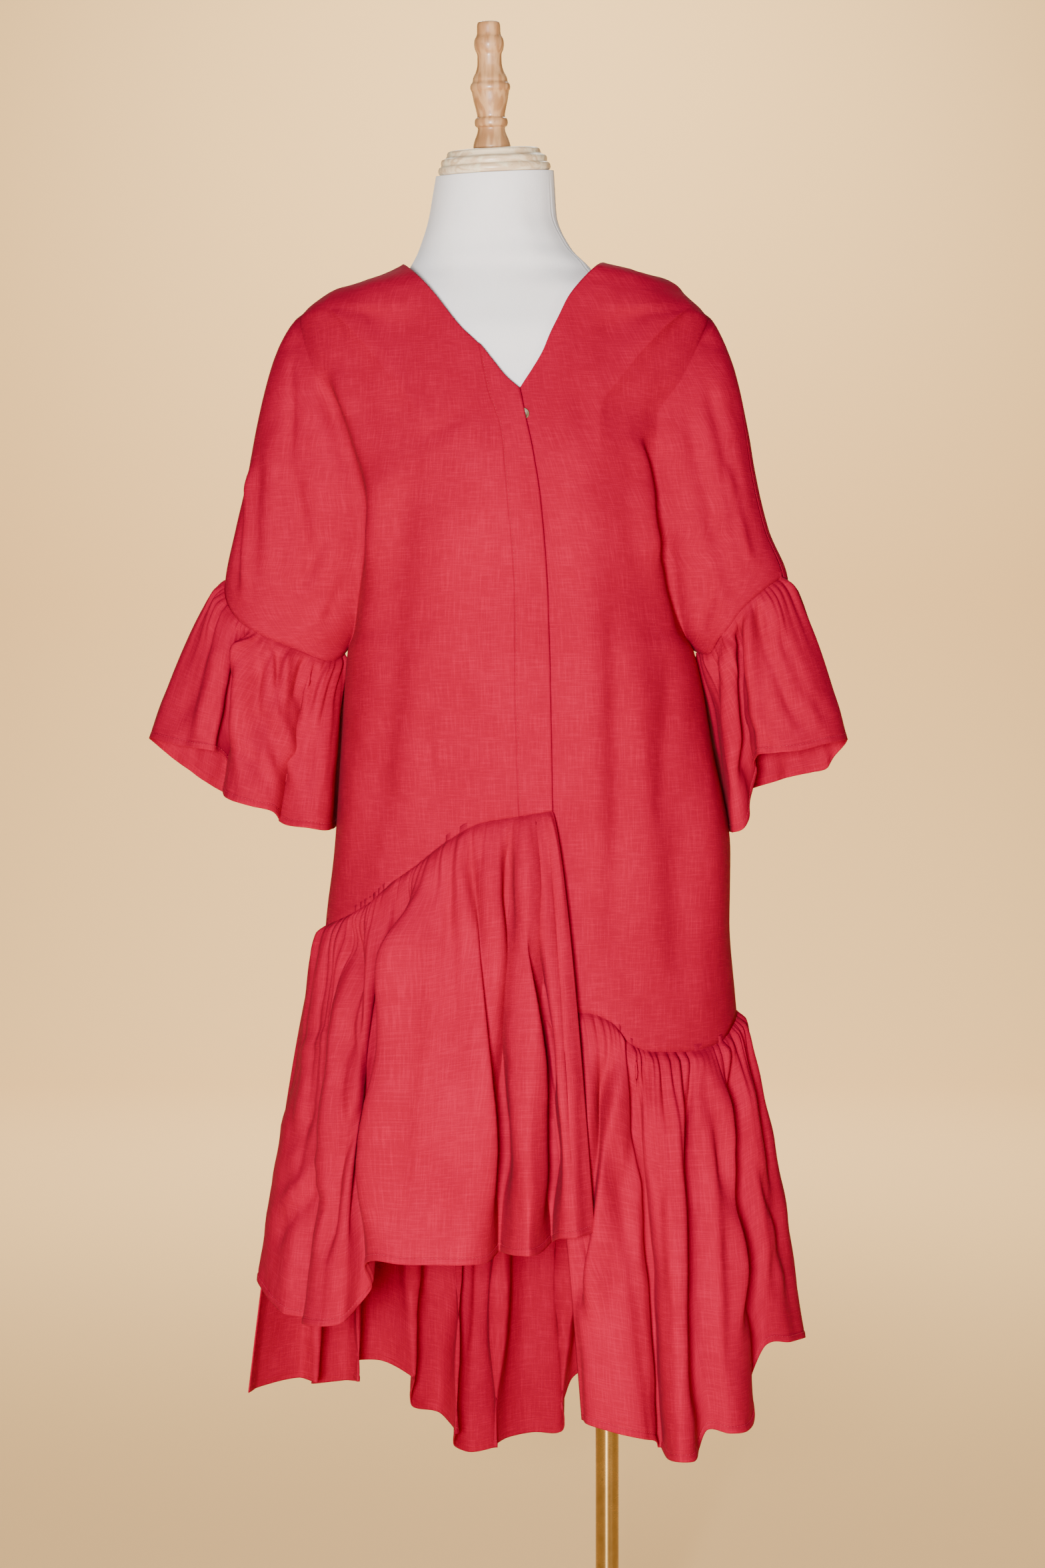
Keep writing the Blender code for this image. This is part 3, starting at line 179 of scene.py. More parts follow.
NECK_ROWS_LEFT_FRONT = (1.2435, 1.2800, 1.3100, 1.3420, 1.3740, NECK_Z)

# The ruffle seam: angle round the body in degrees, height
SEAM_RIGHT_FRONT = ((-90, 0.7696), (-75, 0.7745), (-60.7, 0.7842), (-50, 0.7971), (-42, 0.8154),
                    (-32.6, 0.8342), (-23.8, 0.8545), (-13.6, 0.8712), (-5, 0.8762), (8, 0.8831))
SEAM_LEFT_FRONT = ((0, 0.6980), (14.7, 0.7000), (21.8, 0.6920), (27.7, 0.6700), (34, 0.6632),
                   (48, 0.6610), (62, 0.6664), (75.5, 0.6805), (90, 0.6905))
SEAM_BACK = ((-90, 0.7696), (-50, 0.7450), (0, 0.7000), (50, 0.6850), (90, 0.6905))

# Turning points of the hems: share of the seam above, then x, y, z in mm
HEM_RIGHT_FRONT = (
    (0.000, -17, -185, 511), (0.050, -34, -208, 510), (0.085, -49, -196, 507),
    (0.105, -55, -162, 498), (0.130, -66, -195, 494), (0.165, -76, -213, 495),
    (0.200, -91, -198, 493), (0.225, -102, -166, 490), (0.250, -112, -196, 486),
    (0.300, -130, -212, 487), (0.360, -159, -206, 486), (0.410, -188, -209, 487),
    (0.445, -212, -193, 487), (0.465, -224, -166, 476), (0.490, -218, -141, 452),
    (0.520, -229, -140, 436), (0.560, -243, -156, 424), (0.600, -263, -151, 420),
    (0.640, -281, -126, 417), (0.680, -280, -96, 415), (0.750, -301, -89, 418),
    (0.850, -320, -64, 427), (0.940, -330, -30, 436), (1.000, -332, -0.4, 432),
)
HEM_LEFT_FRONT = (
    (0.000, -29, -172, 342), (0.060, -22, -190, 342), (0.140, 3, -201, 337),
    (0.210, 25, -196, 331), (0.260, 38, -181, 325), (0.290, 41, -168, 316),
    (0.330, 47, -194, 313), (0.380, 57, -211, 315), (0.430, 69, -204, 314),
    (0.460, 76, -174, 318), (0.490, 84, -165, 331), (0.550, 103, -170, 329),
    (0.620, 122, -152, 327), (0.670, 131, -126, 332), (0.710, 130, -98, 362),
    (0.770, 145, -87, 388), (0.850, 168, -66, 386), (0.940, 185, -31, 382),
    (1.000, 188, -0.4, 376),
)
HEM_BACK = (
    (0.000, -345, 0.4, 322), (0.030, -340, 30, 320), (0.065, -303, 76, 318),
    (0.090, -285, 64, 316), (0.115, -293, 104, 305), (0.150, -263, 126, 303),
    (0.180, -246, 107, 306), (0.210, -258, 150, 315), (0.245, -226, 171, 312),
    (0.275, -192, 151, 298), (0.305, -197, 185, 262), (0.340, -168, 201, 250),
    (0.370, -149, 173, 235), (0.395, -151, 205, 214), (0.425, -136, 222, 203),
    (0.450, -112, 206, 212), (0.475, -110, 172, 222), (0.500, -96, 200, 224),
    (0.530, -70, 215, 226), (0.560, -42, 205, 229), (0.585, -41, 167, 262),
    (0.610, -30, 191, 288), (0.645, 0, 205, 300), (0.675, 25, 186, 305),
    (0.700, 31, 152, 312), (0.730, 56, 176, 320), (0.765, 85, 166, 330),
    (0.795, 93, 131, 340), (0.830, 121, 146, 350), (0.865, 145, 116, 358),
    (0.900, 138, 82, 365), (0.935, 168, 76, 370), (0.970, 186, 36, 376),
    (1.000, 188, 0.4, 378),
)
HEM_FLOUNCE_LEFT = (
    (0.000, -441, 10, 951), (0.040, -420, -20, 946), (0.085, -395, -40, 941),
    (0.125, -374, -46, 938), (0.155, -363, -32, 934), (0.180, -360, -13, 917),
    (0.205, -366, -37, 899), (0.235, -356, -57, 892), (0.285, -335, -69, 886),
    (0.330, -316, -61, 881), (0.355, -311, -39, 872), (0.380, -303, -53, 868),
    (0.420, -286, -65, 866), (0.460, -270, -55, 863), (0.485, -265, -32, 864),
    (0.510, -264.5, -6, 864), (0.535, -261, 23, 867), (0.560, -250, 49, 870),
    (0.590, -237.5, 73, 873), (0.620, -252, 84, 877), (0.660, -286, 68, 880),
    (0.700, -322, 37, 885), (0.740, -350, 51, 890),
    (0.800, -377, 61, 899), (0.855, -397, 46, 912), (0.890, -408, 40, 921),
    (0.935, -428, 46, 935), (0.975, -440, 32, 947),
)
HEM_FLOUNCE_RIGHT = (
    (0.000, 232, 8, 950), (0.030, 222, -18, 947), (0.070, 204, -37, 944),
    (0.120, 180, -47, 938), (0.170, 157, -51, 936), (0.205, 140, -43, 934),
    (0.230, 138, -28, 930), (0.260, 142, -10, 918), (0.290, 136, -20, 898),
    (0.330, 133, -36, 877), (0.370, 126, -45, 864), (0.410, 118, -42, 861),
    (0.455, 119.5, -18, 861), (0.485, 120, 0, 861), (0.510, 119, 13, 863),
    (0.535, 114.5, 34, 867), (0.560, 104, 55, 872), (0.590, 90, 75, 878),
    (0.620, 104, 86, 885), (0.655, 128, 72, 895), (0.690, 146, 46, 903),
    (0.725, 166, 40, 909),
    (0.770, 184, 49, 914), (0.830, 202, 41, 918), (0.880, 216, 37, 922),
    (0.930, 226, 41, 936), (0.970, 233, 30, 946),
)

# Creases of the body, in mm: x and z of the start, of the middle and of the end, half width,
# height (below zero for a trough), and for some how far the side right of a line that runs
# downwards leans over it (below zero: the left side leans right)
CREASES_FRONT = (
    # the left sleeve: the valley beside the body, the fold edge and the drags from the shoulder
    (-280, 1296, -243, 1205, -235, 1085, 11, -7.0, 4),
    (-200, 1215, -216, 1120, -236, 1012, 13, 4.8),
    (-300, 1316, -299, 1255, -298, 1195, 5, -3.6, -2),
    (-298, 1215, -290, 1145, -276, 1080, 8, -4.2),
    (-272, 1300, -256, 1240, -243, 1185, 8, -3.6),
    (-337, 1215, -342, 1150, -343, 1072, 5, 3.6),
    (-346, 1225, -349, 1150, -350, 1080, 5, -3.5, 2),
    (-318, 1250, -322, 1180, -318, 1095, 9, 2.5),
    (-262, 1150, -280, 1110, -304, 1078, 6, -2.5),
    (-255, 1110, -266, 1080, -286, 1052, 5, 2.2),
    # the right sleeve
    (36, 1238, 44, 1185, 56, 1105, 8, -6.4, -4),
    (50, 1150, 60, 1090, 76, 1030, 8, -4.2),
    (18, 1215, 40, 1130, 68, 1012, 12, 4.5),
    (70, 1268, 88, 1200, 100, 1110, 9, -3.4),
    (90, 1300, 110, 1220, 120, 1130, 7, -3.1),
    (112, 1215, 122, 1160, 138, 1108, 5, 2.8),
    (84, 1160, 96, 1110, 104, 1060, 7, 2.5),
    (100, 1100, 94, 1070, 86, 1045, 5, -2.8),
    # the body
    (-150, 1190, -160, 1040, -168, 872, 24, 2.5),
    (-122, 1160, -126, 1010, -130, 892, 17, -2.2),
    (-196, 1060, -204, 960, -212, 850, 13, -2.8),
    (-232, 1000, -240, 900, -250, 800, 12, 2.5),
    (-176, 985, -166, 930, -160, 880, 7, -1.7),
    (-118, 1010, -112, 950, -98, 905, 6, -1.4),
    (-22, 1140, -14, 960, -8, 760, 18, 2.5),
    (6, 1090, 4, 900, -6, 706, 11, -3.6),
    (22, 1060, 30, 900, 30, 690, 15, 3.1),
    (52, 960, 62, 850, 66, 690, 13, -2.7),
    (84, 980, 97, 860, 104, 730, 11, 2.7),
    (58, 1040, 50, 930, 44, 850, 9, -2.0),
    # drags below the shoulders and across the chest
    (-168, 1352, -205, 1316, -242, 1255, 13, -0.5),
    (-150, 1330, -160, 1270, -176, 1215, 12, 0.6),
    (-20, 1352, 20, 1316, 52, 1255, 13, -0.5),
    (-34, 1320, -20, 1262, -6, 1200, 11, 0.6),
    (-128, 1262, -150, 1235, -190, 1215, 8, -1.1),
)
CREASES_RUFFLE_RIGHT = (
    # the free edge's folds and the two long ones beside it
    (-60, 868, -50, 720, -36, 520, 5, -5.2),
    (-82, 800, -61, 666, -57, 505, 7, -9.0, -6),
    (-72, 850, -48, 660, -44, 500, 5, 3.9),
    (-128, 846, -112, 670, -97, 500, 7, -9.8, -7),
    (-108, 840, -92, 690, -76, 500, 8, 4.8),
    (-146, 840, -142, 740, -138, 600, 8, -3.6),
    # the left edge of the broad panel and the deep hollow behind it
    (-160, 836, -178, 700, -206, 480, 12, 6.0),
    (-196, 812, -219, 690, -250, 500, 6, -6.0),
    (-182, 822, -204, 700, -236, 480, 10, -24.0, 20),
    (-200, 812, -222, 690, -250, 500, 7, 6.0),
    # the bundle at the side seam
    (-236, 786, -229, 700, -222, 600, 6, -9.8, -7),
    (-247, 786, -250, 690, -264, 520, 8, 6.8),
    (-222, 640, -248, 560, -262, 470, 8, -9.0, -6),
    (-258, 760, -276, 640, -300, 520, 7, -4.5),
    (-268, 560, -284, 520, -306, 500, 5, -3.9),
    (-250, 560, -262, 520, -268, 470, 5, 3.8),
    (-317, 470, -290, 512, -250, 532, 6, -4.5),
    (-312, 508, -284, 540, -256, 578, 6, 3.5),
    (-300, 560, -282, 600, -262, 612, 5, -3.0),
    (-246, 700, -236, 660, -216, 640, 5, -3.0),
    (-296, 640, -276, 668, -250, 676, 6, 2.6),
)
CREASES_RUFFLE_LEFT = (
    # the hollow beside the free edge and the broad panel's edge
    (4, 690, -14, 585, -36, 420, 9, -12.0, 9),
    (14, 676, -2, 585, -22, 400, 9, 7.5),
    (-14, 690, -20, 600, -26, 480, 6, 4.5),
    (28, 660, 18, 600, 10, 520, 6, -3.9),
    (44, 655, 44, 560, 40, 420, 7, -3.6),
    (72, 655, 71, 540, 76, 335, 7, -9.8, 7),
    (62, 650, 60, 540, 62, 340, 8, 5.1),
    (80, 652, 100, 560, 122, 472, 6, -6.0),
    (92, 655, 92, 520, 94, 345, 7, 4.5),
    (108, 662, 117, 560, 125, 398, 6, -9.8, -7),
    (120, 655, 134, 560, 150, 420, 7, 5.4),
    (128, 560, 146, 520, 164, 480, 5, -3.9),
    (146, 520, 152, 480, 166, 430, 5, 2.7),
)
CREASES_FLOUNCE_LEFT = (
    (-343, 1072, -352, 1010, -364, 925, 6, -10.1, 5),
    (-336, 1070, -342, 1000, -350, 900, 6, 6.1),
    (-336, 1050, -338, 990, -338, 946, 4, 4.8),
    (-316, 1052, -312, 1000, -304, 950, 5, -5.4, -3),
    (-300, 1050, -306, 990, -294, 900, 5, 5.1),
    (-352, 948, -336, 932, -310, 900, 5, -4.4),
    (-338, 985, -318, 950, -300, 890, 7, -4.4),
    (-284, 1045, -292, 1000, -290, 960, 4, -4.8),
    (-276, 1042, -282, 970, -276, 880, 5, -4.0),
    (-380, 1060, -398, 1000, -420, 950, 8, -3.0),
    (-366, 1040, -376, 1000, -388, 945, 6, 2.8),
)
CREASES_FLOUNCE_RIGHT = (
    (122, 1072, 122, 1010, 130, 905, 6, -11.0, -5),
    (132, 1085, 134, 1010, 142, 930, 6, 6.4),
    (140, 1094, 158, 1010, 190, 950, 6, -4.8),
    (150, 1096, 172, 1020, 206, 955, 7, 3.8),
    (104, 1050, 104, 980, 110, 890, 5, -5.1, 3),
    (112, 1060, 116, 1000, 120, 880, 5, 4.0),
    (160, 1060, 182, 1000, 214, 960, 6, -3.0),
    (126, 980, 142, 950, 168, 930, 5, -2.8),
)
CREASES_BACK = (
    (-280, 1296, -244, 1205, -235, 1085, 11, -7.0),
    (-200, 1215, -222, 1120, -240, 1010, 12, 4.2),
    (-310, 1250, -318, 1180, -316, 1095, 8, -3.1),
    (-262, 1150, -280, 1110, -300, 1080, 6, -2.5),
    (40, 1240, 46, 1185, 58, 1105, 9, -6.4),
    (24, 1215, 44, 1120, 70, 1010, 12, 4.2),
    (88, 1290, 104, 1210, 116, 1120, 8, -3.1),
    (-110, 1300, -116, 1100, -120, 730, 26, -2.8),
    (-70, 1290, -66, 1080, -60, 720, 22, 3.1),
    (-180, 1200, -192, 1020, -205, 780, 18, 3.1),
    (-152, 1120, -160, 960, -172, 760, 13, -2.8),
    (-20, 1230, -8, 1010, 6, 710, 20, -3.1),
    (40, 1080, 56, 920, 66, 710, 16, 3.1),
    (-228, 960, -236, 880, -244, 800, 12, -2.5),
    (-165, 1350, -205, 1316, -245, 1250, 13, -0.7),
    (-30, 1350, 15, 1316, 50, 1250, 13, -0.7),
)
CREASES_RUFFLE_BACK = (
    (-235, 745, -250, 620, -284, 330, 8, -7.8, 5),
    (-205, 740, -222, 600, -246, 320, 9, 5.2),
    (-172, 735, -186, 560, -192, 310, 8, -8.5),
    (-140, 725, -150, 560, -166, 270, 9, 5.2),
    (-118, 715, -132, 520, -149, 250, 8, -6.5, -5),
    (-84, 705, -96, 520, -110, 230, 8, -7.8),
    (-60, 700, -70, 500, -84, 235, 9, 4.7),
    (-30, 700, -34, 520, -41, 270, 8, -8.5),
    (-4, 698, -10, 540, -12, 300, 9, 4.7),
    (20, 695, 24, 560, 28, 320, 8, -7.8, 5),
    (52, 690, 66, 560, 80, 335, 8, -6.5),
    (84, 688, 108, 560, 134, 370, 7, -6.5),
)

# The button's profile: shares of its radius and of its thickness
BUTTON_PROFILE = ((0.0, 0.0), (0.80, 0.0), (0.95, 0.12), (1.0, 0.4), (0.98, 0.75), (0.90, 1.0),
                  (0.80, 0.98), (0.70, 0.72), (0.35, 0.62), (0.0, 0.62))


def smooth(table: Sequence[Sequence[float]], at: np.ndarray, column: int = 1) -> np.ndarray:
    """A column of a table as a curve through its rows that never overshoots.

    Between two rows the curve is the cubic that has the harmonic mean of the neighbouring
    slopes at each row, and a level tangent where the slopes change sign.

    Args:
        table: Rows whose first column rises.
        at: Where the curve is read, in the first column's unit.
        column: The column that is read.

    Returns:
        The values, in the shape of at.
    """
    xs = np.array([row[0] for row in table], float)
    ys = np.array([row[column] for row in table], float)
    at = np.clip(np.asarray(at, float), xs[0], xs[-1])
    steps = np.diff(ys) / np.diff(xs)
    both = steps[:-1] * steps[1:]
    total = np.where(both > 0, steps[:-1] + steps[1:], 1.0)
    slopes = np.concatenate([steps[:1], np.where(both > 0, 2 * both / total, 0.0), steps[-1:]])
    i = np.clip(np.searchsorted(xs, at) - 1, 0, len(xs) - 2)
    width = xs[i + 1] - xs[i]
    t = (at - xs[i]) / width
    rise = ys[i + 1] - ys[i]
    bend = slopes[i] * width * t * (1 - t) ** 2 - slopes[i + 1] * width * t * t * (1 - t)
    return ys[i] + rise * t * t * (3 - 2 * t) + bend


def ease(value: np.ndarray) -> np.ndarray:
    """The value held between 0 and 1, with level ends: 3t^2 - 2t^3."""
    t = np.clip(value, 0, 1)
    return t * t * (3 - 2 * t)


def ripple(at: np.ndarray, seed: int) -> np.ndarray:
    """Smooth random values between -1 and 1, one per whole number, eased between."""
    knots = np.random.default_rng(seed).uniform(-1, 1, 512)
    at = np.asarray(at, float)
    low = np.floor(at)
    t = ease(at - low)
    i = low.astype(int) % 512
    return knots[i] * (1 - t) + knots[(i + 1) % 512] * t


def mottle(u: np.ndarray, v: np.ndarray, seed: int) -> np.ndarray:
    """Smooth random values between -1 and 1 over a plane, one per unit square's corner."""
    knots = np.random.default_rng(seed).uniform(-1, 1, (64, 64))
    u, v = np.broadcast_arrays(np.asarray(u, float), np.asarray(v, float))
    lu, lv = np.floor(u), np.floor(v)
    tu, tv = ease(u - lu), ease(v - lv)
    i, j = lu.astype(int) % 64, lv.astype(int) % 64
    k, m = (i + 1) % 64, (j + 1) % 64
    near = knots[i, j] * (1 - tu) + knots[k, j] * tu
    far = knots[i, m] * (1 - tu) + knots[k, m] * tu
    return near * (1 - tv) + far * tv


def body_point(share: np.ndarray, z: np.ndarray, back: bool) -> np.ndarray:
    """A point of the body.

    The section is an ellipse from the middle (share 0) to the edge angle (share -1 or 1), less
    a dip that grows with the fifth power of the share, down to the valley beside the sleeve.

    Args:
        share: -1 at the left edge, 1 at the right edge.
        z: Heights.
        back: True for the back of the body.

    Returns:
        Points, with x, y, z last.
    """
    share, z = np.broadcast_arrays(np.asarray(share, float), np.asarray(z, float))
    right = share > 0
    centre = smooth(BODY, z, 1)
    edge = np.where(right, smooth(BODY, z, 3), smooth(BODY, z, 2))
    edge_angle = np.radians(np.where(right, smooth(BODY, z, 5), smooth(BODY, z, 4)))
    valley = np.where(right, smooth(BODY, z, 7), smooth(BODY, z, 6))
    depth = smooth(BODY, z, 9 if back else 8)
    angle = np.abs(share) * edge_angle
    x = centre + (edge - centre) * np.sin(angle) / np.sin(edge_angle)
    dip = (depth * np.cos(edge_angle) - valley) * np.abs(share) ** 5
    y = depth * np.cos(angle) - dip
    return np.stack([x, y if back else -y, z], -1)


def share_of(x: np.ndarray, z: np.ndarray) -> np.ndarray:
    """The share at which the body has this x at this height: the inverse of body_point."""
    x, z = np.broadcast_arrays(np.asarray(x, float), np.asarray(z, float))
    centre = smooth(BODY, z, 1)
    right = x > centre
    edge = np.where(right, smooth(BODY, z, 3), smooth(BODY, z, 2))
    edge_angle = np.radians(np.where(right, smooth(BODY, z, 5), smooth(BODY, z, 4)))
    sine = np.clip((x - centre) / (edge - centre) * np.sin(edge_angle), -1, 1)
    return np.where(right, 1, -1) * np.arcsin(np.abs(sine)) / edge_angle


def sleeve_point(share: np.ndarray, z: np.ndarray, side: int, back: bool) -> np.ndarray:
    """A point of a sleeve.

    The section is an ellipse between the valley beside the body (share 0) and the overarm seam
    (share 1); it is lifted near the valley so that it starts at the body's own edge.

    Args:
        share: 0 at the valley, 1 at the overarm seam.
        z: Heights.
        side: -1 for the picture's left sleeve, 1 for the right one.
        back: True for the back half.

    Returns:
        Points, with x, y, z last.
    """
    share, z = np.broadcast_arrays(np.asarray(share, float), np.asarray(z, float))
    right = side > 0
    near = np.clip((UNDERARM_CLEAR_TOP - z) / UNDERARM_CLEAR_FADE, 0, 1) * np.clip(share * 5, 0, 1)
    inner = smooth(BODY, z, 3 if right else 2) + side * UNDERARM_CLEAR * near
    outer = smooth(SLEEVES, z, 2 if right else 1)
    valley = smooth(BODY, z, 7 if right else 6)
    front, rear = smooth(SLEEVES, z, 3), smooth(SLEEVES, z, 4)
    start = np.radians(smooth(SLEEVES, z, 5))
    end = np.radians(smooth(OVERARM, z, 2 if right else 1))
    begin, own, sign = (math.pi - start, rear, -1) if back else (start, front, 1)
    angle = begin + (end - begin) * share
    depth = np.where(np.cos(angle) > 0, front, rear)
    x = inner + (outer - inner) * (np.sin(angle) - np.sin(start)) / (1 - np.sin(start))
    lift = (valley - own * np.cos(start)) * (1 - share) ** 2 * sign
    return np.stack([x, -(depth * np.cos(angle) + lift), z], -1)


def sink(x: np.ndarray, z: np.ndarray) -> np.ndarray:
    """How far the under side of the opening lies behind the upper side, eased out sideways."""
    over = (x - smooth(FOLD_EDGE, z) - UNDERLAP_START) / UNDERLAP_FADE
    return UNDERLAP_SINK * (1 - ease(over))


def hem_curve(table: Sequence[Sequence[float]], closed: bool, per_point: int) -> np.ndarray:
    """The hem through its turning points.

    A cubic runs between neighbours, with the slope of the chord across each point, held back
    where the line turns sharply.

    Args:
        table: Rows of seam share, x, y and z in mm.
        closed: True for a ring.
        per_point: Points made between two turning points.

    Returns:
        Rows of seam share, x, y and z in metres.
    """
    rows = np.array(table, float)
    rows[:, 1:] /= 1000
    if closed:
        turn = rows[0].copy()
        turn[0] += 1.0
        rows = np.vstack([rows, turn])
    length = np.concatenate([[0], np.cumsum(np.linalg.norm(np.diff(rows[:, 1:3], axis=0), axis=1))])
    slopes = np.empty_like(rows)
    slopes[1:-1] = (rows[2:] - rows[:-2]) / (length[2:] - length[:-2])[:, None]
    slopes[0] = (rows[1] - rows[0]) / (length[1] - length[0])
    slopes[-1] = (rows[-1] - rows[-2]) / (length[-1] - length[-2])
    if closed:
        across = rows[1] - rows[0] + rows[-1] - rows[-2]
        slopes[0] = slopes[-1] = across / (length[1] + length[-1] - length[-2])
    steps = np.diff(rows[:, 1:3], axis=0)
    steps /= np.linalg.norm(steps, axis=1, keepdims=True)
    bend = (steps[1:] * steps[:-1]).sum(axis=1)
    slopes[1:-1] *= np.clip((1.0 + bend) * TURN_KEEP, TURN_LEAST, 1.0)[:, None]
    at = np.linspace(0, length[-1], per_point * (len(rows) - 1) + 1)
    i = np.clip(np.searchsorted(length, at) - 1, 0, len(length) - 2)
    width = (length[i + 1] - length[i])[:, None]
    t = ((at - length[i]) / width[:, 0])[:, None]
    a, b, ma, mb = rows[i], rows[i + 1], slopes[i] * width, slopes[i + 1] * width
    found = (a * (1 + 2 * t) * (1 - t) ** 2 + b * t * t * (3 - 2 * t)
             + ma * t * (1 - t) ** 2 - mb * t * t * (1 - t))
    return found[:-1] if closed else found


def along(line: np.ndarray, share: np.ndarray) -> np.ndarray:
    """Points on a polyline at these shares of its point count, straight between its points."""
    at = np.clip(share, 0, 1) * (len(line) - 1)
    i = np.clip(at.astype(int), 0, len(line) - 2)
    t = (at - i)[:, None]
    return line[i] * (1 - t) + line[i + 1] * t


def unit(vectors: np.ndarray, least: float = 1e-9) -> np.ndarray:
    """The vectors divided by their lengths, and by no less than the least."""
    return vectors / np.maximum(np.linalg.norm(vectors, axis=-1, keepdims=True), least)


def grid_normals(points: np.ndarray, closed: bool = False) -> np.ndarray:
    """Unit normals of a grid: the cross product of its steps along columns and along rows."""
    if closed:
        wide = np.concatenate([points[:, -1:], points, points[:, :1]], axis=1)
        across = (wide[:, 2:] - wide[:, :-2]) / 2
    else:
        across = np.gradient(points, axis=1)
    return unit(np.cross(across, np.gradient(points, axis=0)), 1e-12)


def grid_quads(index: np.ndarray, closed: bool = False) -> np.ndarray:
    """Quads of a grid of point numbers, each row joined to the next."""
    if closed:
        index = np.concatenate([index, index[:, :1]], axis=1)
    corners = [index[:-1, :-1], index[:-1, 1:], index[1:, 1:], index[1:, :-1]]
    return np.stack(corners, -1).reshape(-1, 4)


def creases_at(table: Sequence[Sequence[float]], u: np.ndarray, v: np.ndarray) -> tuple:
    """The height and the overhang that a table of listed creases adds.

    Each crease follows a bent line in the u, v plane. Its height is a bell of the distance from
    the line, with a lower ridge on one side, and it tapers towards both ends. With a lean the
    ridge stands on the leaning side and is carried sideways over the trough.

    Args:
        table: Rows of u and v at the start, middle and end, half width, height and sometimes a
            lean, all in mm.
        u: First coordinate of the points, in metres.
        v: Second coordinate of the points, in metres.

    Returns:
        Heights and shifts along u, in metres and in the shape of u.
    """
    total, shift = np.zeros((2, *np.broadcast(u, v).shape))
    for index, row in enumerate(table):
        u0, v0, u1, v1, u2, v2, width, height = np.array(row[:8], float) * MM
        lean = row[8] * MM if len(row) > 8 else 0.0
        side = -1.0 if lean < 0 else 1.0
        direction = np.array([u2 - u0, v2 - v0])
        length = math.hypot(*direction)
        direction /= length
        t = ((u - u0) * direction[0] + (v - v0) * direction[1]) / length
        off = (u - u0) * -direction[1] + (v - v0) * direction[0]
        bow = (u1 - u0) * -direction[1] + (v1 - v0) * direction[0]
        middle = ((u1 - u0) * direction[0] + (v1 - v0) * direction[1]) / length
        arc = bow * np.clip(t * (1 - t) / max(middle * (1 - middle), 0.05), -0.2, 1.2)
        wander = width * 0.35 * ripple(t * 3.1 + index * 7.3, 40 + index)
        d = (off - arc - wander) / width
        taper = ease(t / 0.22) * ease((1 - t) / 0.28) * (1 + 0.25 * ripple(t * 4.7, 90 + index))
        total += height * taper * (np.exp(-d * d) - 0.40 * np.exp(-((side * d - 1.8) / 1.2) ** 2))
        shift -= lean * taper * np.exp(-((side * d - 1.5) ** 2))
    return total, shift


@dataclass
class Patch:
    """A cloth surface before it gets its wall.

    Attributes:
        points: Points, one row each.
        normals: Unit normals that face out of the garment.
        quads: Faces as point numbers.
        cloth: Place of each point on the flat cloth, in metres.
    """

    points: np.ndarray
    normals: np.ndarray
    quads: np.ndarray
    cloth: np.ndarray

    def faced(self) -> "Patch":
        """The patch with its faces turned to agree with its normals."""
        corners = self.points[self.quads]
        across = np.cross(corners[:, 2] - corners[:, 0], corners[:, 3] - corners[:, 1])
        agree = (across * self.normals[self.quads].mean(axis=1)).sum(axis=1)
        if np.median(agree) < 0:
            self.quads = self.quads[:, ::-1]
        return self


class Workshop:
    """Makes Blender objects from arrays and ties them to the frame."""

    @staticmethod
    def mesh(name: str, points: np.ndarray, quads: Union[np.ndarray, list], slot: str,
             material: bpy.types.Material, cloth: Optional[np.ndarray] = None,
             replaces: Sequence[str] = ()) -> bpy.types.Object:
        """Makes one smooth object that rides on the root.

        Args:
            name: Name of the piece.
            points: Its points.
            quads: Its faces as point numbers.
            slot: The record's material slot; not used.
            material: Its material.
            cloth: Place of each point on the flat cloth, in metres.
            replaces: The solids that it stands for.

        Returns:
            The object.
        """
        data = bpy.data.meshes.new(name)
        faces = quads.tolist() if isinstance(quads, np.ndarray) else quads
        data.from_pydata(points.tolist(), [], faces)
        data.update()
        data.polygons.foreach_set("use_smooth", np.ones(len(data.polygons), bool))
        if cloth is not None:
            layer = data.uv_layers.new(name="cloth")
            index = np.empty(len(data.loops), np.int32)
            data.loops.foreach_get("vertex_index", index)
            layer.data.foreach_set("uv", cloth[index].astype(np.float32).ravel())
        data.materials.append(material)
        made = bpy.data.objects.new(f"{name}_dressed", data)
        bpy.context.scene.collection.objects.link(made)
        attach(made, "root")
        if replaces:
            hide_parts(*replaces)
        LOG.info("%s: %d faces", name, len(data.polygons))
        return made

    @staticmethod
    def walled(patch: Patch) -> tuple:
        """A closed wall: the patch, its copy set back by the wall's thickness, and the rim.

        Args:
            patch: The surface.

        Returns:
            Points, quads and the place on the flat cloth of each point.
        """
        count = len(patch.points)
        points = np.concatenate([patch.points, patch.points - patch.normals * WALL])
        edges = np.concatenate([patch.quads[:, [i, (i + 1) % 4]] for i in range(4)])
        key = np.sort(edges, axis=1)
        _, index, uses = np.unique(key, axis=0, return_index=True, return_counts=True)
        a, b = edges[index[uses == 1]].T
        rim = np.stack([b, a, a + count, b + count], -1)
        quads = np.concatenate([patch.quads, patch.quads[:, ::-1] + count, rim])
        return points, quads, np.concatenate([patch.cloth, patch.cloth])


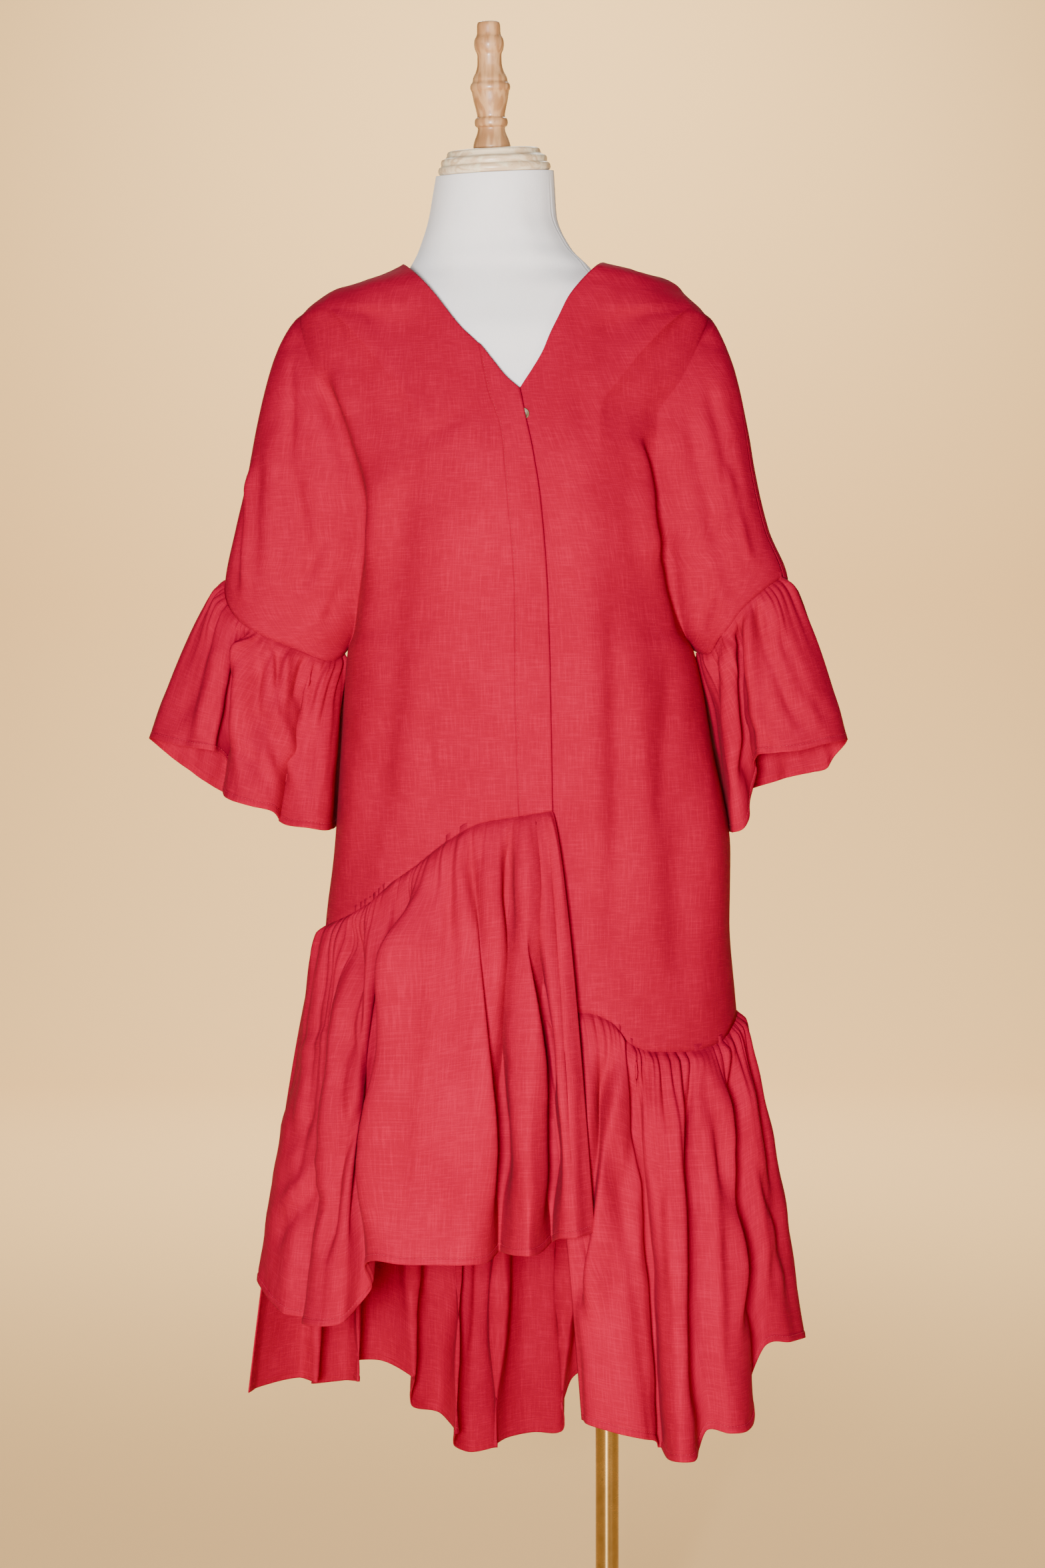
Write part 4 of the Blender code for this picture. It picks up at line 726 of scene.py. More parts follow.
class Flow:
    """A shader value whose Math nodes are added as an expression on it is written."""

    def __init__(self, bench: "Bench", socket: bpy.types.NodeSocket) -> None:
        """Holds the bench that adds the nodes and the socket that carries the value."""
        self.bench = bench
        self.socket = socket

    def _with(self, operation: str, other: Union["Flow", float], swap: bool = False) -> "Flow":
        """The value joined with another by one Math node, the two swapped if asked."""
        pair = (other, self) if swap else (self, other)
        return self.bench.math(operation, *pair)

    def __add__(self, other: Union["Flow", float]) -> "Flow":
        """self + other."""
        return self._with("ADD", other)

    def __radd__(self, other: float) -> "Flow":
        """other + self."""
        return self._with("ADD", other, True)

    def __sub__(self, other: Union["Flow", float]) -> "Flow":
        """self - other."""
        return self._with("SUBTRACT", other)

    def __rsub__(self, other: float) -> "Flow":
        """other - self."""
        return self._with("SUBTRACT", other, True)

    def __mul__(self, other: Union["Flow", float]) -> "Flow":
        """self * other."""
        return self._with("MULTIPLY", other)

    def __rmul__(self, other: float) -> "Flow":
        """other * self."""
        return self._with("MULTIPLY", other, True)


class Bench:
    """The node tree of one material."""

    def __init__(self, name: str) -> None:
        """Starts a material of this name with its Principled shader."""
        self.material = bpy.data.materials.new(name)
        self.material.use_nodes = True
        self.tree = self.material.node_tree
        self.shader = self.tree.nodes["Principled BSDF"]

    def node(self, kind: str, settings: Optional[dict] = None,
             sockets: Optional[dict] = None) -> bpy.types.Node:
        """Adds one node.

        Args:
            kind: The node's type.
            settings: Attributes that are set first; a ramp's stops come as "stops".
            sockets: Values or links by input name or number.

        Returns:
            The node.
        """
        made = self.tree.nodes.new(kind)
        for key, value in (settings or {}).items():
            if key == "stops":
                ramp = made.color_ramp
                while len(ramp.elements) < len(value):
                    ramp.elements.new(0.5)
                for element, (at, colour) in zip(ramp.elements, value):
                    element.position = at
                    element.color = (*colour, 1.0)
            else:
                setattr(made, key, value)
        for key, value in (sockets or {}).items():
            self.plug(made.inputs[key], value)
        return made

    def plug(self, socket: bpy.types.NodeSocket, value: object) -> None:
        """Links a Flow or a socket to the input, or sets the input's own value."""
        if isinstance(value, Flow):
            self.tree.links.new(value.socket, socket)
        elif isinstance(value, bpy.types.NodeSocket):
            self.tree.links.new(value, socket)
        else:
            socket.default_value = value

    def math(self, operation: str, a: Union[Flow, float], b: Union[Flow, float] = 0.0) -> Flow:
        """One Math node on two values."""
        made = self.node("ShaderNodeMath", {"operation": operation}, {0: a, 1: b})
        return Flow(self, made.outputs[0])

    def range(self, value: Flow, low: float, high: float, to_low: float = 0.0,
              to_high: float = 1.0) -> Flow:
        """The value carried from one range to another, eased at both ends and held there."""
        made = self.node("ShaderNodeMapRange", {"interpolation_type": "SMOOTHSTEP"},
                         {0: value, 1: low, 2: high, 3: to_low, 4: to_high})
        return Flow(self, made.outputs[0])

    def place(self) -> bpy.types.NodeSocket:
        """The piece's own coordinates in metres."""
        return self.node("ShaderNodeTexCoord").outputs["Object"]

    def cloth(self) -> bpy.types.NodeSocket:
        """The place on the flat cloth in metres."""
        return self.node("ShaderNodeUVMap", {"uv_map": "cloth"}).outputs["UV"]

    def scaled(self, vector: bpy.types.NodeSocket, scale: Sequence[float]) -> bpy.types.NodeSocket:
        """A vector stretched along its axes."""
        made = self.node("ShaderNodeVectorMath", {"operation": "MULTIPLY"},
                         {0: vector, 1: tuple(scale)})
        return made.outputs[0]

    def noise(self, vector: bpy.types.NodeSocket, scale: float, detail: float = 2.0,
              rough: float = 0.5) -> Flow:
        """Cloud noise between about 0 and 1."""
        made = self.node("ShaderNodeTexNoise", None, {
            "Vector": vector, "Scale": scale, "Detail": detail, "Roughness": rough})
        return Flow(self, made.outputs["Fac"])

    def mix(self, share: Union[Flow, float], a: object, b: object) -> bpy.types.NodeSocket:
        """Colour a turned towards colour b by the share."""
        made = self.node("ShaderNodeMix", {"data_type": "RGBA"}, {0: share, 6: a, 7: b})
        return made.outputs[2]

    def finish(self, colour: object, rough: Union[Flow, float], height: Optional[Flow] = None,
               depth: float = 0.0002, strength: float = 1.0, **fixed: float) -> bpy.types.Material:
        """Feeds the shader.

        Args:
            colour: Base colour, a value or a socket.
            rough: Roughness, a value or a flow.
            height: Relief between 0 and 1.
            depth: How deep the relief is, in metres.
            strength: How strongly the relief shows.
            fixed: Uniform values of the shader's own sockets, with _ for a space.

        Returns:
            The material.
        """
        self.plug(self.shader.inputs["Base Color"], colour)
        self.plug(self.shader.inputs["Roughness"], rough)
        for key, value in fixed.items():
            self.shader.inputs[key.replace("_", " ")].default_value = value
        if height is not None:
            bump = self.node("ShaderNodeBump", None, {
                "Strength": strength, "Distance": depth, "Height": height})
            self.plug(self.shader.inputs["Normal"], bump.outputs[0])
        return self.material


@dataclass(frozen=True)
class RedLinen:
    """Matte plain-weave cloth with slubs and a few pale flecks.

    Attributes:
        name: Name of the material.
        colour: Base colour of the threads.
        deep: Colour in the thinner places.
        fleck: Colour of the pale flecks.
        pitch: Distance between threads in metres.
    """

    name: str = "red_linen"
    colour: tuple = (0.40, 0.0004, 0.031, 1.0)
    deep: tuple = (0.28, 0.0002, 0.019, 1.0)
    fleck: tuple = (0.60, 0.08, 0.11, 1.0)
    pitch: float = 0.0008

    def build(self) -> bpy.types.Material:
        """Builds the material: weave = warp and weft sines, slubs = noise drawn along threads."""
        bench = Bench(self.name)
        flat = bench.cloth()
        split = bench.node("ShaderNodeSeparateXYZ", None, {0: flat})
        u, v = Flow(bench, split.outputs[0]), Flow(bench, split.outputs[1])
        turn = 2 * math.pi / self.pitch
        weave = bench.math("SINE", u * turn) * bench.math("SINE", v * turn)
        weft = bench.noise(bench.scaled(flat, (45.0, 900.0, 1.0)), 1.0, 2.0, 0.6)
        warp = bench.noise(bench.scaled(flat, (900.0, 38.0, 1.0)), 1.0, 2.0, 0.6)
        slub = bench.range(weft, 0.42, 0.72) * 0.5 + bench.range(warp, 0.42, 0.72) * 0.5
        cloud = bench.noise(flat, 14.0, 4.0, 0.55)
        worn = bench.noise(bench.scaled(flat, (5.0, 2.5, 1.0)), 1.0, 3.0, 0.6)
        tone = slub * 0.42 + cloud * 0.34 + worn * 0.34
        colour = bench.mix(bench.range(tone, 0.22, 0.78), self.deep, self.colour)
        speck = bench.noise(flat, 520.0, 1.0, 0.4)
        colour = bench.mix(bench.range(speck, 0.80, 0.86) * 0.35, colour, self.fleck)
        height = weave * 0.22 + slub * 0.9
        rough = bench.range(cloud, 0.3, 0.7, 0.90, 0.80)
        return bench.finish(colour, rough, height, 0.00028, 0.55, Sheen_Weight=0.02,
                            Sheen_Roughness=0.45, Sheen_Tint=(1.0, 0.30, 0.36, 1.0),
                            Specular_IOR_Level=0.05)


@dataclass(frozen=True)
class SewingThread:
    """Twisted polyester thread, a shade brighter than the cloth."""

    name: str = "red_thread"
    colour: tuple = (0.34, 0.002, 0.024, 1.0)
    light: tuple = (0.46, 0.010, 0.042, 1.0)

    def build(self) -> bpy.types.Material:
        """Builds the material: two tones mixed by fine noise, slightly glossy."""
        bench = Bench(self.name)
        tone = bench.noise(bench.place(), 900.0, 2.0)
        colour = bench.mix(bench.range(tone, 0.35, 0.65), self.colour, self.light)
        return bench.finish(colour, bench.range(tone, 0.3, 0.7, 0.62, 0.48), tone, 0.0001,
                            0.4, Specular_IOR_Level=0.2)


@dataclass(frozen=True)
class FormCover:
    """Off-white stretched jersey over the padded form."""

    name: str = "form_cover"
    colour: tuple = (0.985, 0.955, 0.955, 1.0)
    dull: tuple = (0.93, 0.89, 0.885, 1.0)

    def build(self) -> bpy.types.Material:
        """Builds the material: fine knit rows, soft stains and a faint pilling."""
        bench = Bench(self.name)
        place = bench.place()
        split = bench.node("ShaderNodeSeparateXYZ", None, {0: place})
        x, z = Flow(bench, split.outputs[0]), Flow(bench, split.outputs[2])
        knit = bench.math("SINE", z * 7850.0) * bench.math("SINE", x * 7850.0)
        thread = bench.noise(bench.scaled(place, (700.0, 700.0, 260.0)), 1.0, 2.0, 0.6)
        cloud = bench.noise(place, 11.0, 4.0, 0.6)
        tone = cloud * 0.75 + thread * 0.25
        colour = bench.mix(bench.range(tone, 0.40, 0.70), self.colour, self.dull)
        return bench.finish(colour, bench.range(cloud, 0.3, 0.7, 0.93, 0.84),
                            knit * 0.25 + thread, 0.00022, 0.45, Sheen_Weight=0.22,
                            Sheen_Roughness=0.5, Specular_IOR_Level=0.2)


class Cut(Enum):
    """Which way the grain of a turned piece runs."""

    ALONG = "along the axis"
    ACROSS = "across the axis"


@dataclass(frozen=True)
class TurnedWood:
    """Pale hardwood off the lathe, lightly varnished.

    Attributes:
        name: Name of the material.
        light: Colour of the soft wood between rings.
        dark: Colour of the rings.
        cut: Which way the grain runs.
        gloss: Weight of the varnish.
        worn: Weight of the pale worn places.
    """

    name: str
    light: tuple
    dark: tuple
    cut: Cut
    gloss: float = 0.25
    worn: float = 0.3

    def build(self) -> bpy.types.Material:
        """Builds the material: grain noise drawn out along the cut, rings, pores and wear."""
        bench = Bench(self.name)
        place = bench.place()
        stretch = (150.0, 150.0, 9.0) if self.cut is Cut.ALONG else (12.0, 150.0, 150.0)
        fine = bench.noise(bench.scaled(place, stretch), 1.0, 4.0, 0.6)
        broad = bench.noise(bench.scaled(place, tuple(s * 0.28 for s in stretch)), 1.0, 3.0, 0.55)
        rings = bench.math("SINE", broad * 42.0) * 0.5 + 0.5
        tone = rings * 0.45 + fine * 0.55
        colour = bench.mix(bench.range(tone, 0.25, 0.80), self.light, self.dark)
        pores = bench.noise(bench.scaled(place, tuple(s * 5.0 for s in stretch)), 1.0, 1.0)
        pore = bench.range(pores, 0.66, 0.74)
        colour = bench.mix(pore * 0.35, colour, tuple(c * 0.45 for c in self.dark[:3]) + (1.0,))
        rubbed = bench.range(bench.noise(place, 60.0, 4.0, 0.65), 0.52, 0.66)
        pale = tuple(min(1.0, c * 1.15 + 0.08) for c in self.light[:3]) + (1.0,)
        colour = bench.mix(rubbed * self.worn, colour, pale)
        rough = 0.34 + rubbed * 0.22 + fine * 0.12
        return bench.finish(colour, rough, tone - pore * 0.8, 0.00015, 0.4,
                            Coat_Weight=self.gloss, Coat_Roughness=0.22)


@dataclass(frozen=True)
class AgedBrass:
    """Polished brass, a little dulled by handling."""

    name: str = "aged_brass"
    bright: tuple = (0.46, 0.31, 0.12, 1.0)
    dull: tuple = (0.30, 0.195, 0.07, 1.0)

    def build(self) -> bpy.types.Material:
        """Builds the material: brush marks drawn out round the piece, smudges and dull spots."""
        bench = Bench(self.name)
        place = bench.place()
        marks = bench.noise(bench.scaled(place, (60.0, 60.0, 1400.0)), 1.0, 2.0, 0.6)
        smudge = bench.noise(place, 26.0, 4.0, 0.6)
        spots = bench.range(bench.noise(place, 160.0, 3.0, 0.6), 0.64, 0.74)
        share = bench.range(smudge, 0.36, 0.72) * 0.75 + spots * 0.25
        colour = bench.mix(share, self.bright, self.dull)
        rough = 0.22 + smudge * 0.08 + marks * 0.04 + spots * 0.08
        return bench.finish(colour, rough, marks, 0.00004, 0.3, Metallic=1.0, Anisotropic=0.85,
                            Anisotropic_Rotation=0.25)


@dataclass(frozen=True)
class HornButton:
    """Matte olive-brown button with darker streaks."""

    name: str = "horn_button"
    colour: tuple = (0.175, 0.115, 0.045, 1.0)
    dark: tuple = (0.055, 0.032, 0.014, 1.0)

    def build(self) -> bpy.types.Material:
        """Builds the material: streaks of noise drawn along one side."""
        bench = Bench(self.name)
        streak = bench.noise(bench.scaled(bench.place(), (500.0, 500.0, 120.0)), 1.0, 3.0)
        colour = bench.mix(bench.range(streak, 0.35, 0.68), self.colour, self.dark)
        return bench.finish(colour, bench.range(streak, 0.3, 0.7, 0.34, 0.46), streak, 0.00005, 0.3)


@dataclass(frozen=True)
class PaperSweep:
    """The plain pale backdrop and floor."""

    name: str = "paper_sweep"
    colour: tuple = (0.86, 0.565, 0.245, 1.0)

    def build(self) -> bpy.types.Material:
        """Builds the material: plain and matte."""
        bench = Bench(self.name)
        return bench.finish(self.colour, 0.95, Specular_IOR_Level=0.1)


@dataclass
class Stitching:
    """Rows of small stitches laid on a surface.

    Attributes:
        thick: Half the thread's thickness in metres.
        length: Length of one stitch in metres.
        pitch: Distance from one stitch to the next in metres.
        reach: How far before and behind a stitch its direction is read, in metres.
    """

    thick: float = 0.00026
    length: float = 0.0024
    pitch: float = STITCH_PITCH
    reach: float = 1e-3

    def row(self, line: np.ndarray, normals: np.ndarray) -> tuple:
        """One row of stitches.

        Each stitch is a four-sided spindle that starts in the cloth, arches along the line by
        its half thickness and ends in the cloth.

        Args:
            line: Points of the seam line.
            normals: The cloth's normals there.

        Returns:
            Points and quads.
        """
        steps = np.linalg.norm(np.diff(line, axis=0), axis=1)
        at = np.concatenate([[0], np.cumsum(steps)])
        count = max(1, int(at[-1] / self.pitch))
        where = (np.arange(count) + 0.5) * at[-1] / count

        def read(place: np.ndarray, values: np.ndarray) -> np.ndarray:
            """The values' columns read at these lengths along the line."""
            return np.stack([np.interp(place, at, values[:, i]) for i in range(3)], -1)

        centre = read(where, line)
        ahead, behind = read(where + self.reach, line), read(where - self.reach, line)
        normal = unit(read(where, normals))
        tangent = unit(ahead - behind)
        side = unit(np.cross(tangent, normal))
        rings = np.array([(-0.5, 0.35, -0.9), (-0.3, 1.0, 0.2), (0.3, 1.0, 0.2), (0.5, 0.35, -0.9)])
        corners = np.array([(1, 0), (0, 1), (-1, 0), (0, -1)])
        shape = np.array([(t * self.length, c * r * self.thick, (u * r + lift) * self.thick)
                          for t, r, lift in rings for c, u in corners])
        axes = np.stack([tangent, side, normal], 1)
        points = centre[:, None] + np.einsum("kj,nji->nki", shape, axes)
        index = np.arange(16).reshape(4, 4)
        one = grid_quads(index, closed=True)
        caps = np.array([(3, 2, 1, 0), (12, 13, 14, 15)])
        one = np.concatenate([one[:, ::-1], caps[:, ::-1]])
        quads = one[None] + (np.arange(count) * 16)[:, None, None]
        return points.reshape(-1, 3), quads.reshape(-1, 4)

    def build(self, name: str, rows: list, material: bpy.types.Material) -> bpy.types.Object:
        """Joins rows of stitches into one object that rides on the root."""
        points, quads, first = [], [], 0
        for line, normals in rows:
            p, q = self.row(line, normals)
            points.append(p)
            quads.append(q + first)
            first += len(p)
        return Workshop.mesh(name, np.concatenate(points), np.concatenate(quads),
                             "cloth", material)


@dataclass
class BodyPanel:
    """One body panel with its half sleeves, cut in one with it.

    Attributes:
        name: Name of the piece, and of the solid it stands for.
        neck_rows: Heights of the neck edge's turning points.
        neck_line: The neck edge as height and x, or nothing for the back.
        seam: The ruffle seam as angle and height.
        sides: The sleeves that it carries, -1 left and 1 right.
        back: True for the back panel.
        sunk: True for the under side of the opening.
        low_z: The height at which the bottom edge reads its angle.
        creases: Its listed creases.
        body_cells: Grid cells across the body.
        sleeve_cells: Grid cells across a half sleeve.
        up_cells: Grid cells down to the underarm.
        down_cells: Grid cells below the underarm.
        seed: Start of its random numbers.
        blocks: The finished grid, kept for the pieces that are sewn to it.
    """

    name: str
    neck_rows: Sequence[float]
    neck_line: Optional[Sequence[Sequence[float]]]
    seam: Sequence[Sequence[float]]
    sides: Sequence[int]
    back: bool
    sunk: bool
    low_z: float
    creases: Sequence[Sequence[float]]
    body_cells: int = 84
    sleeve_cells: int = 46
    up_cells: int = 76
    down_cells: int = 48
    seed: int = 1
    blocks: dict = field(default_factory=dict)

    def top_edge(self, c: np.ndarray) -> tuple:
        """Height and share of the top edge at these columns: neck edge, then shoulder seam."""
        drop = NECK_Z + (VALLEY_TOP_Z - NECK_Z) * np.arange(1, SHOULDER_COLS + 1) / SHOULDER_COLS
        if self.back:
            across = np.clip((c - SHOULDER_COLS) / BACK_NECK_HALF - 1, -1, 1)
            neck = NECK_Z - BACK_NECK_DIP * (1 - across**2)
            beyond = np.abs(c - BACK_COLS / 2) - BACK_NECK_HALF
            ends = np.interp(beyond, np.arange(SHOULDER_COLS + 1), np.concatenate([[NECK_Z], drop]))
            return np.where(beyond < 0, neck, ends), across
        listed = np.concatenate([np.array(self.neck_rows), drop])
        z = np.interp(c, np.arange(len(listed)), listed)
        side = float(self.sides[0])
        share = share_of(smooth(self.neck_line, np.minimum(z, NECK_Z)), z)
        return z, np.where(c >= len(self.neck_rows) - 1, side, share)

    def last_column(self) -> float:
        """The number of the last column."""
        return float(BACK_COLS) if self.back else float(len(self.neck_rows) + SHOULDER_COLS - 1)

    def low_share(self, c: np.ndarray, z: np.ndarray) -> np.ndarray:
        """Where the columns hang below the neck, as shares of the body."""
        c, z = np.broadcast_arrays(c, z)
        if self.back:
            return c / (BACK_COLS / 2) - 1
        if self.sunk:
            inner = share_of(smooth(FOLD_EDGE, z) - UNDERLAP, z)
            return inner + (1 - inner) * c / self.last_column()
        fold = smooth(FOLD_EDGE, z)
        stitch = np.minimum(smooth(STITCH_EDGE, z), fold - 0.012)
        near = share_of(fold + (stitch - fold) * np.minimum(c / BAND_COLS, 1), z)
        rest = share_of(stitch, z)
        beyond = np.clip((c - BAND_COLS) / (self.last_column() - BAND_COLS), 0, 1)
        return np.where(c <= BAND_COLS, near, rest + (-1 - rest) * beyond)

    def surface(self, share: np.ndarray, z: np.ndarray) -> np.ndarray:
        """The body's own surface, with the under side set back."""
        found = body_point(share, z, self.back)
        if self.sunk:
            found[..., 1] += sink(found[..., 0], z)
        return found

    def grid(self) -> tuple:
        """The panel's upper and lower blocks of points.

        Returns:
            The upper block with the half sleeves beside the body, the lower block, and the first
            body column of the upper block.
        """
        c = np.linspace(0, self.last_column(), self.body_cells + 1)
        r = np.concatenate([np.linspace(0, ROWS_UP, self.up_cells + 1),
                            np.linspace(ROWS_UP, ROWS_UP + ROWS_DOWN, self.down_cells + 1)[1:]])
        top_z, top_share = self.top_edge(c)
        low = self.low_share(c, np.full_like(c, self.low_z))
        bottom = smooth(self.seam, low * 90)
        fallen = (np.minimum(r, ROWS_UP)[:, None] / ROWS_UP) ** ROW_BUNCHING
        up = top_z + (UNDERARM_Z - top_z) * fallen
        down = (bottom - UNDERARM_Z) * (np.maximum(r - ROWS_UP, 0) / ROWS_DOWN)[:, None]
        z = up + down
        keep = ((1 - np.clip(r / (ROWS_UP * SETTLE_SHARE), 0, 1)) ** 2)[:, None]
        share = self.low_share(c[None], z)
        share = share + (top_share - self.low_share(c, top_z)) * keep
        body = self.surface(share, z)
        upper, lower, first = body[:self.up_cells + 1].copy(), body[self.up_cells:], 0
        for side in self.sides:
            half = self.sleeve(side, r[:self.up_cells + 1])
            if side < 0 and not self.back or side > 0:
                upper = np.concatenate([upper, half], axis=1)
            else:
                upper = np.concatenate([half[:, ::-1], upper], axis=1)
                first = half.shape[1]
        return self.softened(upper), lower, first

    @staticmethod
    def softened(upper: np.ndarray) -> np.ndarray:
        """The upper block with its sharp valleys rounded: each point's depth moves towards the
        mean of its neighbours, less and less below the shoulders and not at all at the underarm."""
        z = upper[..., 2]
        ease_in = ease((z - SOFTEN_FROM_Z) / SOFTEN_FULL) * (1 - SOFTEN_LEAST) + SOFTEN_LEAST
        ease_in = ease_in * ease((z - UNDERARM_Z) / SOFTEN_UNDERARM)
        hold = ease((SOFTEN_TOP_Z - z) / SOFTEN_TOP_FADE)
        share = (SOFTEN_SHARE * ease_in * hold)[:, 1:-1]
        for _ in range(SOFTEN_PASSES):
            y = upper[..., 1]
            upper[:, 1:-1, 1] = y[:, 1:-1] + share * (y[:, 2:] + y[:, :-2] - 2 * y[:, 1:-1])
            y = upper[1:-1, 1:-1, 1]
            y += SOFTEN_ALONG * share[1:-1] * (upper[2:, 1:-1, 1] + upper[:-2, 1:-1, 1] - 2 * y)
        return upper

    def sleeve(self, side: int, r: np.ndarray) -> np.ndarray:
        """The half sleeve beside the body, from the valley's next column to the overarm seam."""
        u = np.arange(1, self.sleeve_cells + 1) / self.sleeve_cells
        top = VALLEY_TOP_Z - TIP_DROP * u
        bottom = smooth(SLEEVE_END, u, (2 if side > 0 else 1) + (2 if self.back else 0))
        z = top + (bottom - top) * ((r / ROWS_UP) ** ROW_BUNCHING)[:, None]
        share = 1 - (1 - u) * np.minimum(1, r / 2)[:, None]
        return sleeve_point(share, z, side, self.back)

    def relief(self, points: np.ndarray) -> tuple:
        """The cloth's own folds by x and z, listed creases and soft hanging waves, and how far
        they carry it sideways."""
        x, z = points[..., 0], points[..., 2]
        hang = ease((1.32 - z) / 0.30)
        waves = mottle(x * 22 + z * 1.5, z * 4.0, self.seed) * 0.0018 * hang
        small = mottle(x * 55 + z * 6, z * 16, self.seed + 1) * 0.0006
        tiny = mottle(x * 130, z * 60, self.seed + 2) * 0.0002
        hand, shift = creases_at(self.creases, x, z)
        return hand + waves + small + tiny, shift

    def build(self, linen: bpy.types.Material) -> bpy.types.Object:
        """Builds the panel with its wall, and keeps its edges for the pieces sewn to it."""
        upper, lower, first = self.grid()
        rows, cols = upper.shape[:2]
        wide = lower.shape[1]
        whole_low = np.arange(lower[1:].shape[0] * wide).reshape(-1, wide) + rows * cols
        top_index = np.arange(rows * cols).reshape(rows, cols)
        low_index = np.concatenate([top_index[-1:, first:first + wide], whole_low])
        upper, lower = self.folded(upper, lower, first)
        points = np.concatenate([upper.reshape(-1, 3), lower[1:].reshape(-1, 3)])
        outward = 1.0 if self.back else -1.0
        normals = np.zeros_like(points)
        for block, index in ((upper, top_index), (lower, low_index)):
            made = grid_normals(block)
            made *= np.sign((made[..., 1] * outward).sum())
            normals[index] += made
        normals = unit(normals)
        quads = np.concatenate([grid_quads(top_index), grid_quads(low_index)])
        cloth = np.zeros((len(points), 2))
        for block, index in ((upper, top_index), (lower, low_index)):
            steps = np.diff(block, axis=1, prepend=block[:, :1])
            across = np.cumsum(np.linalg.norm(steps, axis=-1), 1)
            cloth[index] = np.stack([across, block[..., 2]], -1)
        patch = Patch(points, normals, quads, cloth).faced()
        self.blocks = {
            "patch": patch, "top": top_index, "low": low_index, "first": first, "wide": wide}
        shell, faces, flat = Workshop.walled(patch)
        made = Workshop.mesh(self.name, shell, faces, "cloth", linen, flat, [self.name])
        return made

    def folded(self, upper: np.ndarray, lower: np.ndarray, first: int) -> tuple:
        """Both blocks moved along their normals by the relief, still at the sewn edges."""
        outward = 1.0 if self.back else -1.0
        wide = lower.shape[1]
        whole = np.concatenate([upper[:, first:first + wide], lower[1:]])
        rows_up = upper.shape[0]
        normal = grid_normals(whole)
        normal *= np.sign((normal[..., 1] * outward).sum())
        c = np.linspace(0, 1, wide)
        side_fade = ease((1 - c) / 0.12) if not self.back else ease((1 - np.abs(2 * c - 1)) / 0.16)
        fade = np.ones(whole.shape[:2])
        down = ease((np.arange(whole.shape[0]) - rows_up * 0.72) / (rows_up * 0.28))[:, None]
        fade *= 1 - (1 - side_fade) * down
        fade *= ease(np.arange(whole.shape[0]) / (rows_up * 0.10))[:, None]
        fade *= ease((whole.shape[0] - 1 - np.arange(whole.shape[0])) / 8 + 0.15)[:, None]
        rise, shift = self.relief(whole)
        moved = whole + normal * (rise * fade)[..., None]
        moved[..., 0] += shift * fade
        out_upper = upper.copy()
        normal_up = grid_normals(upper)
        normal_up *= np.sign((normal_up[..., 1] * outward).sum())
        rest = np.ones(upper.shape[:2])
        for side in self.sides:
            right = side > 0 or not self.back
            n = self.sleeve_cells
            u = np.arange(1, n + 1) / n
            edge = ease((1 - u) / OVERARM_FADE)
            part = slice(upper.shape[1] - n, None) if right else slice(0, n)
            rest[:, part] *= edge if right else edge[::-1]
            rest[:, part] *= ease((rows_up - 1 - np.arange(rows_up)) / 6 + 0.1)[:, None]
        rest *= ease(np.arange(rows_up) / (rows_up * 0.12))[:, None]
        rise, shift = self.relief(upper)
        out_upper += normal_up * (rise * rest)[..., None]
        out_upper[..., 0] += shift * rest
        blend = ease((rows_up - 1 - np.arange(rows_up)) / 10)[:, None, None]
        inner = slice(first, first + wide)
        out_upper[:, inner] = out_upper[:, inner] * blend + moved[:rows_up] * (1 - blend)
        low = moved[rows_up - 1:].copy()
        low[0] = out_upper[-1, inner]
        return out_upper, low

    def take(self, index: np.ndarray) -> np.ndarray:
        """Points and normals side by side at these point numbers."""
        patch = self.blocks["patch"]
        return np.hstack([patch.points[index], patch.normals[index]])

    def bottom(self) -> np.ndarray:
        """The edge that the ruffle is sewn to, from the first column to the last."""
        return self.take(self.blocks["low"][-1])

    def sleeve_end(self, side: int) -> np.ndarray:
        """The half sleeve's end, from the underarm to the overarm seam."""
        top, first, wide = (self.blocks[k] for k in ("top", "first", "wide"))
        if side > 0 or not self.back:
            return self.take(top[-1, first + wide - 1:])
        return self.take(top[-1, :first + 1][::-1])


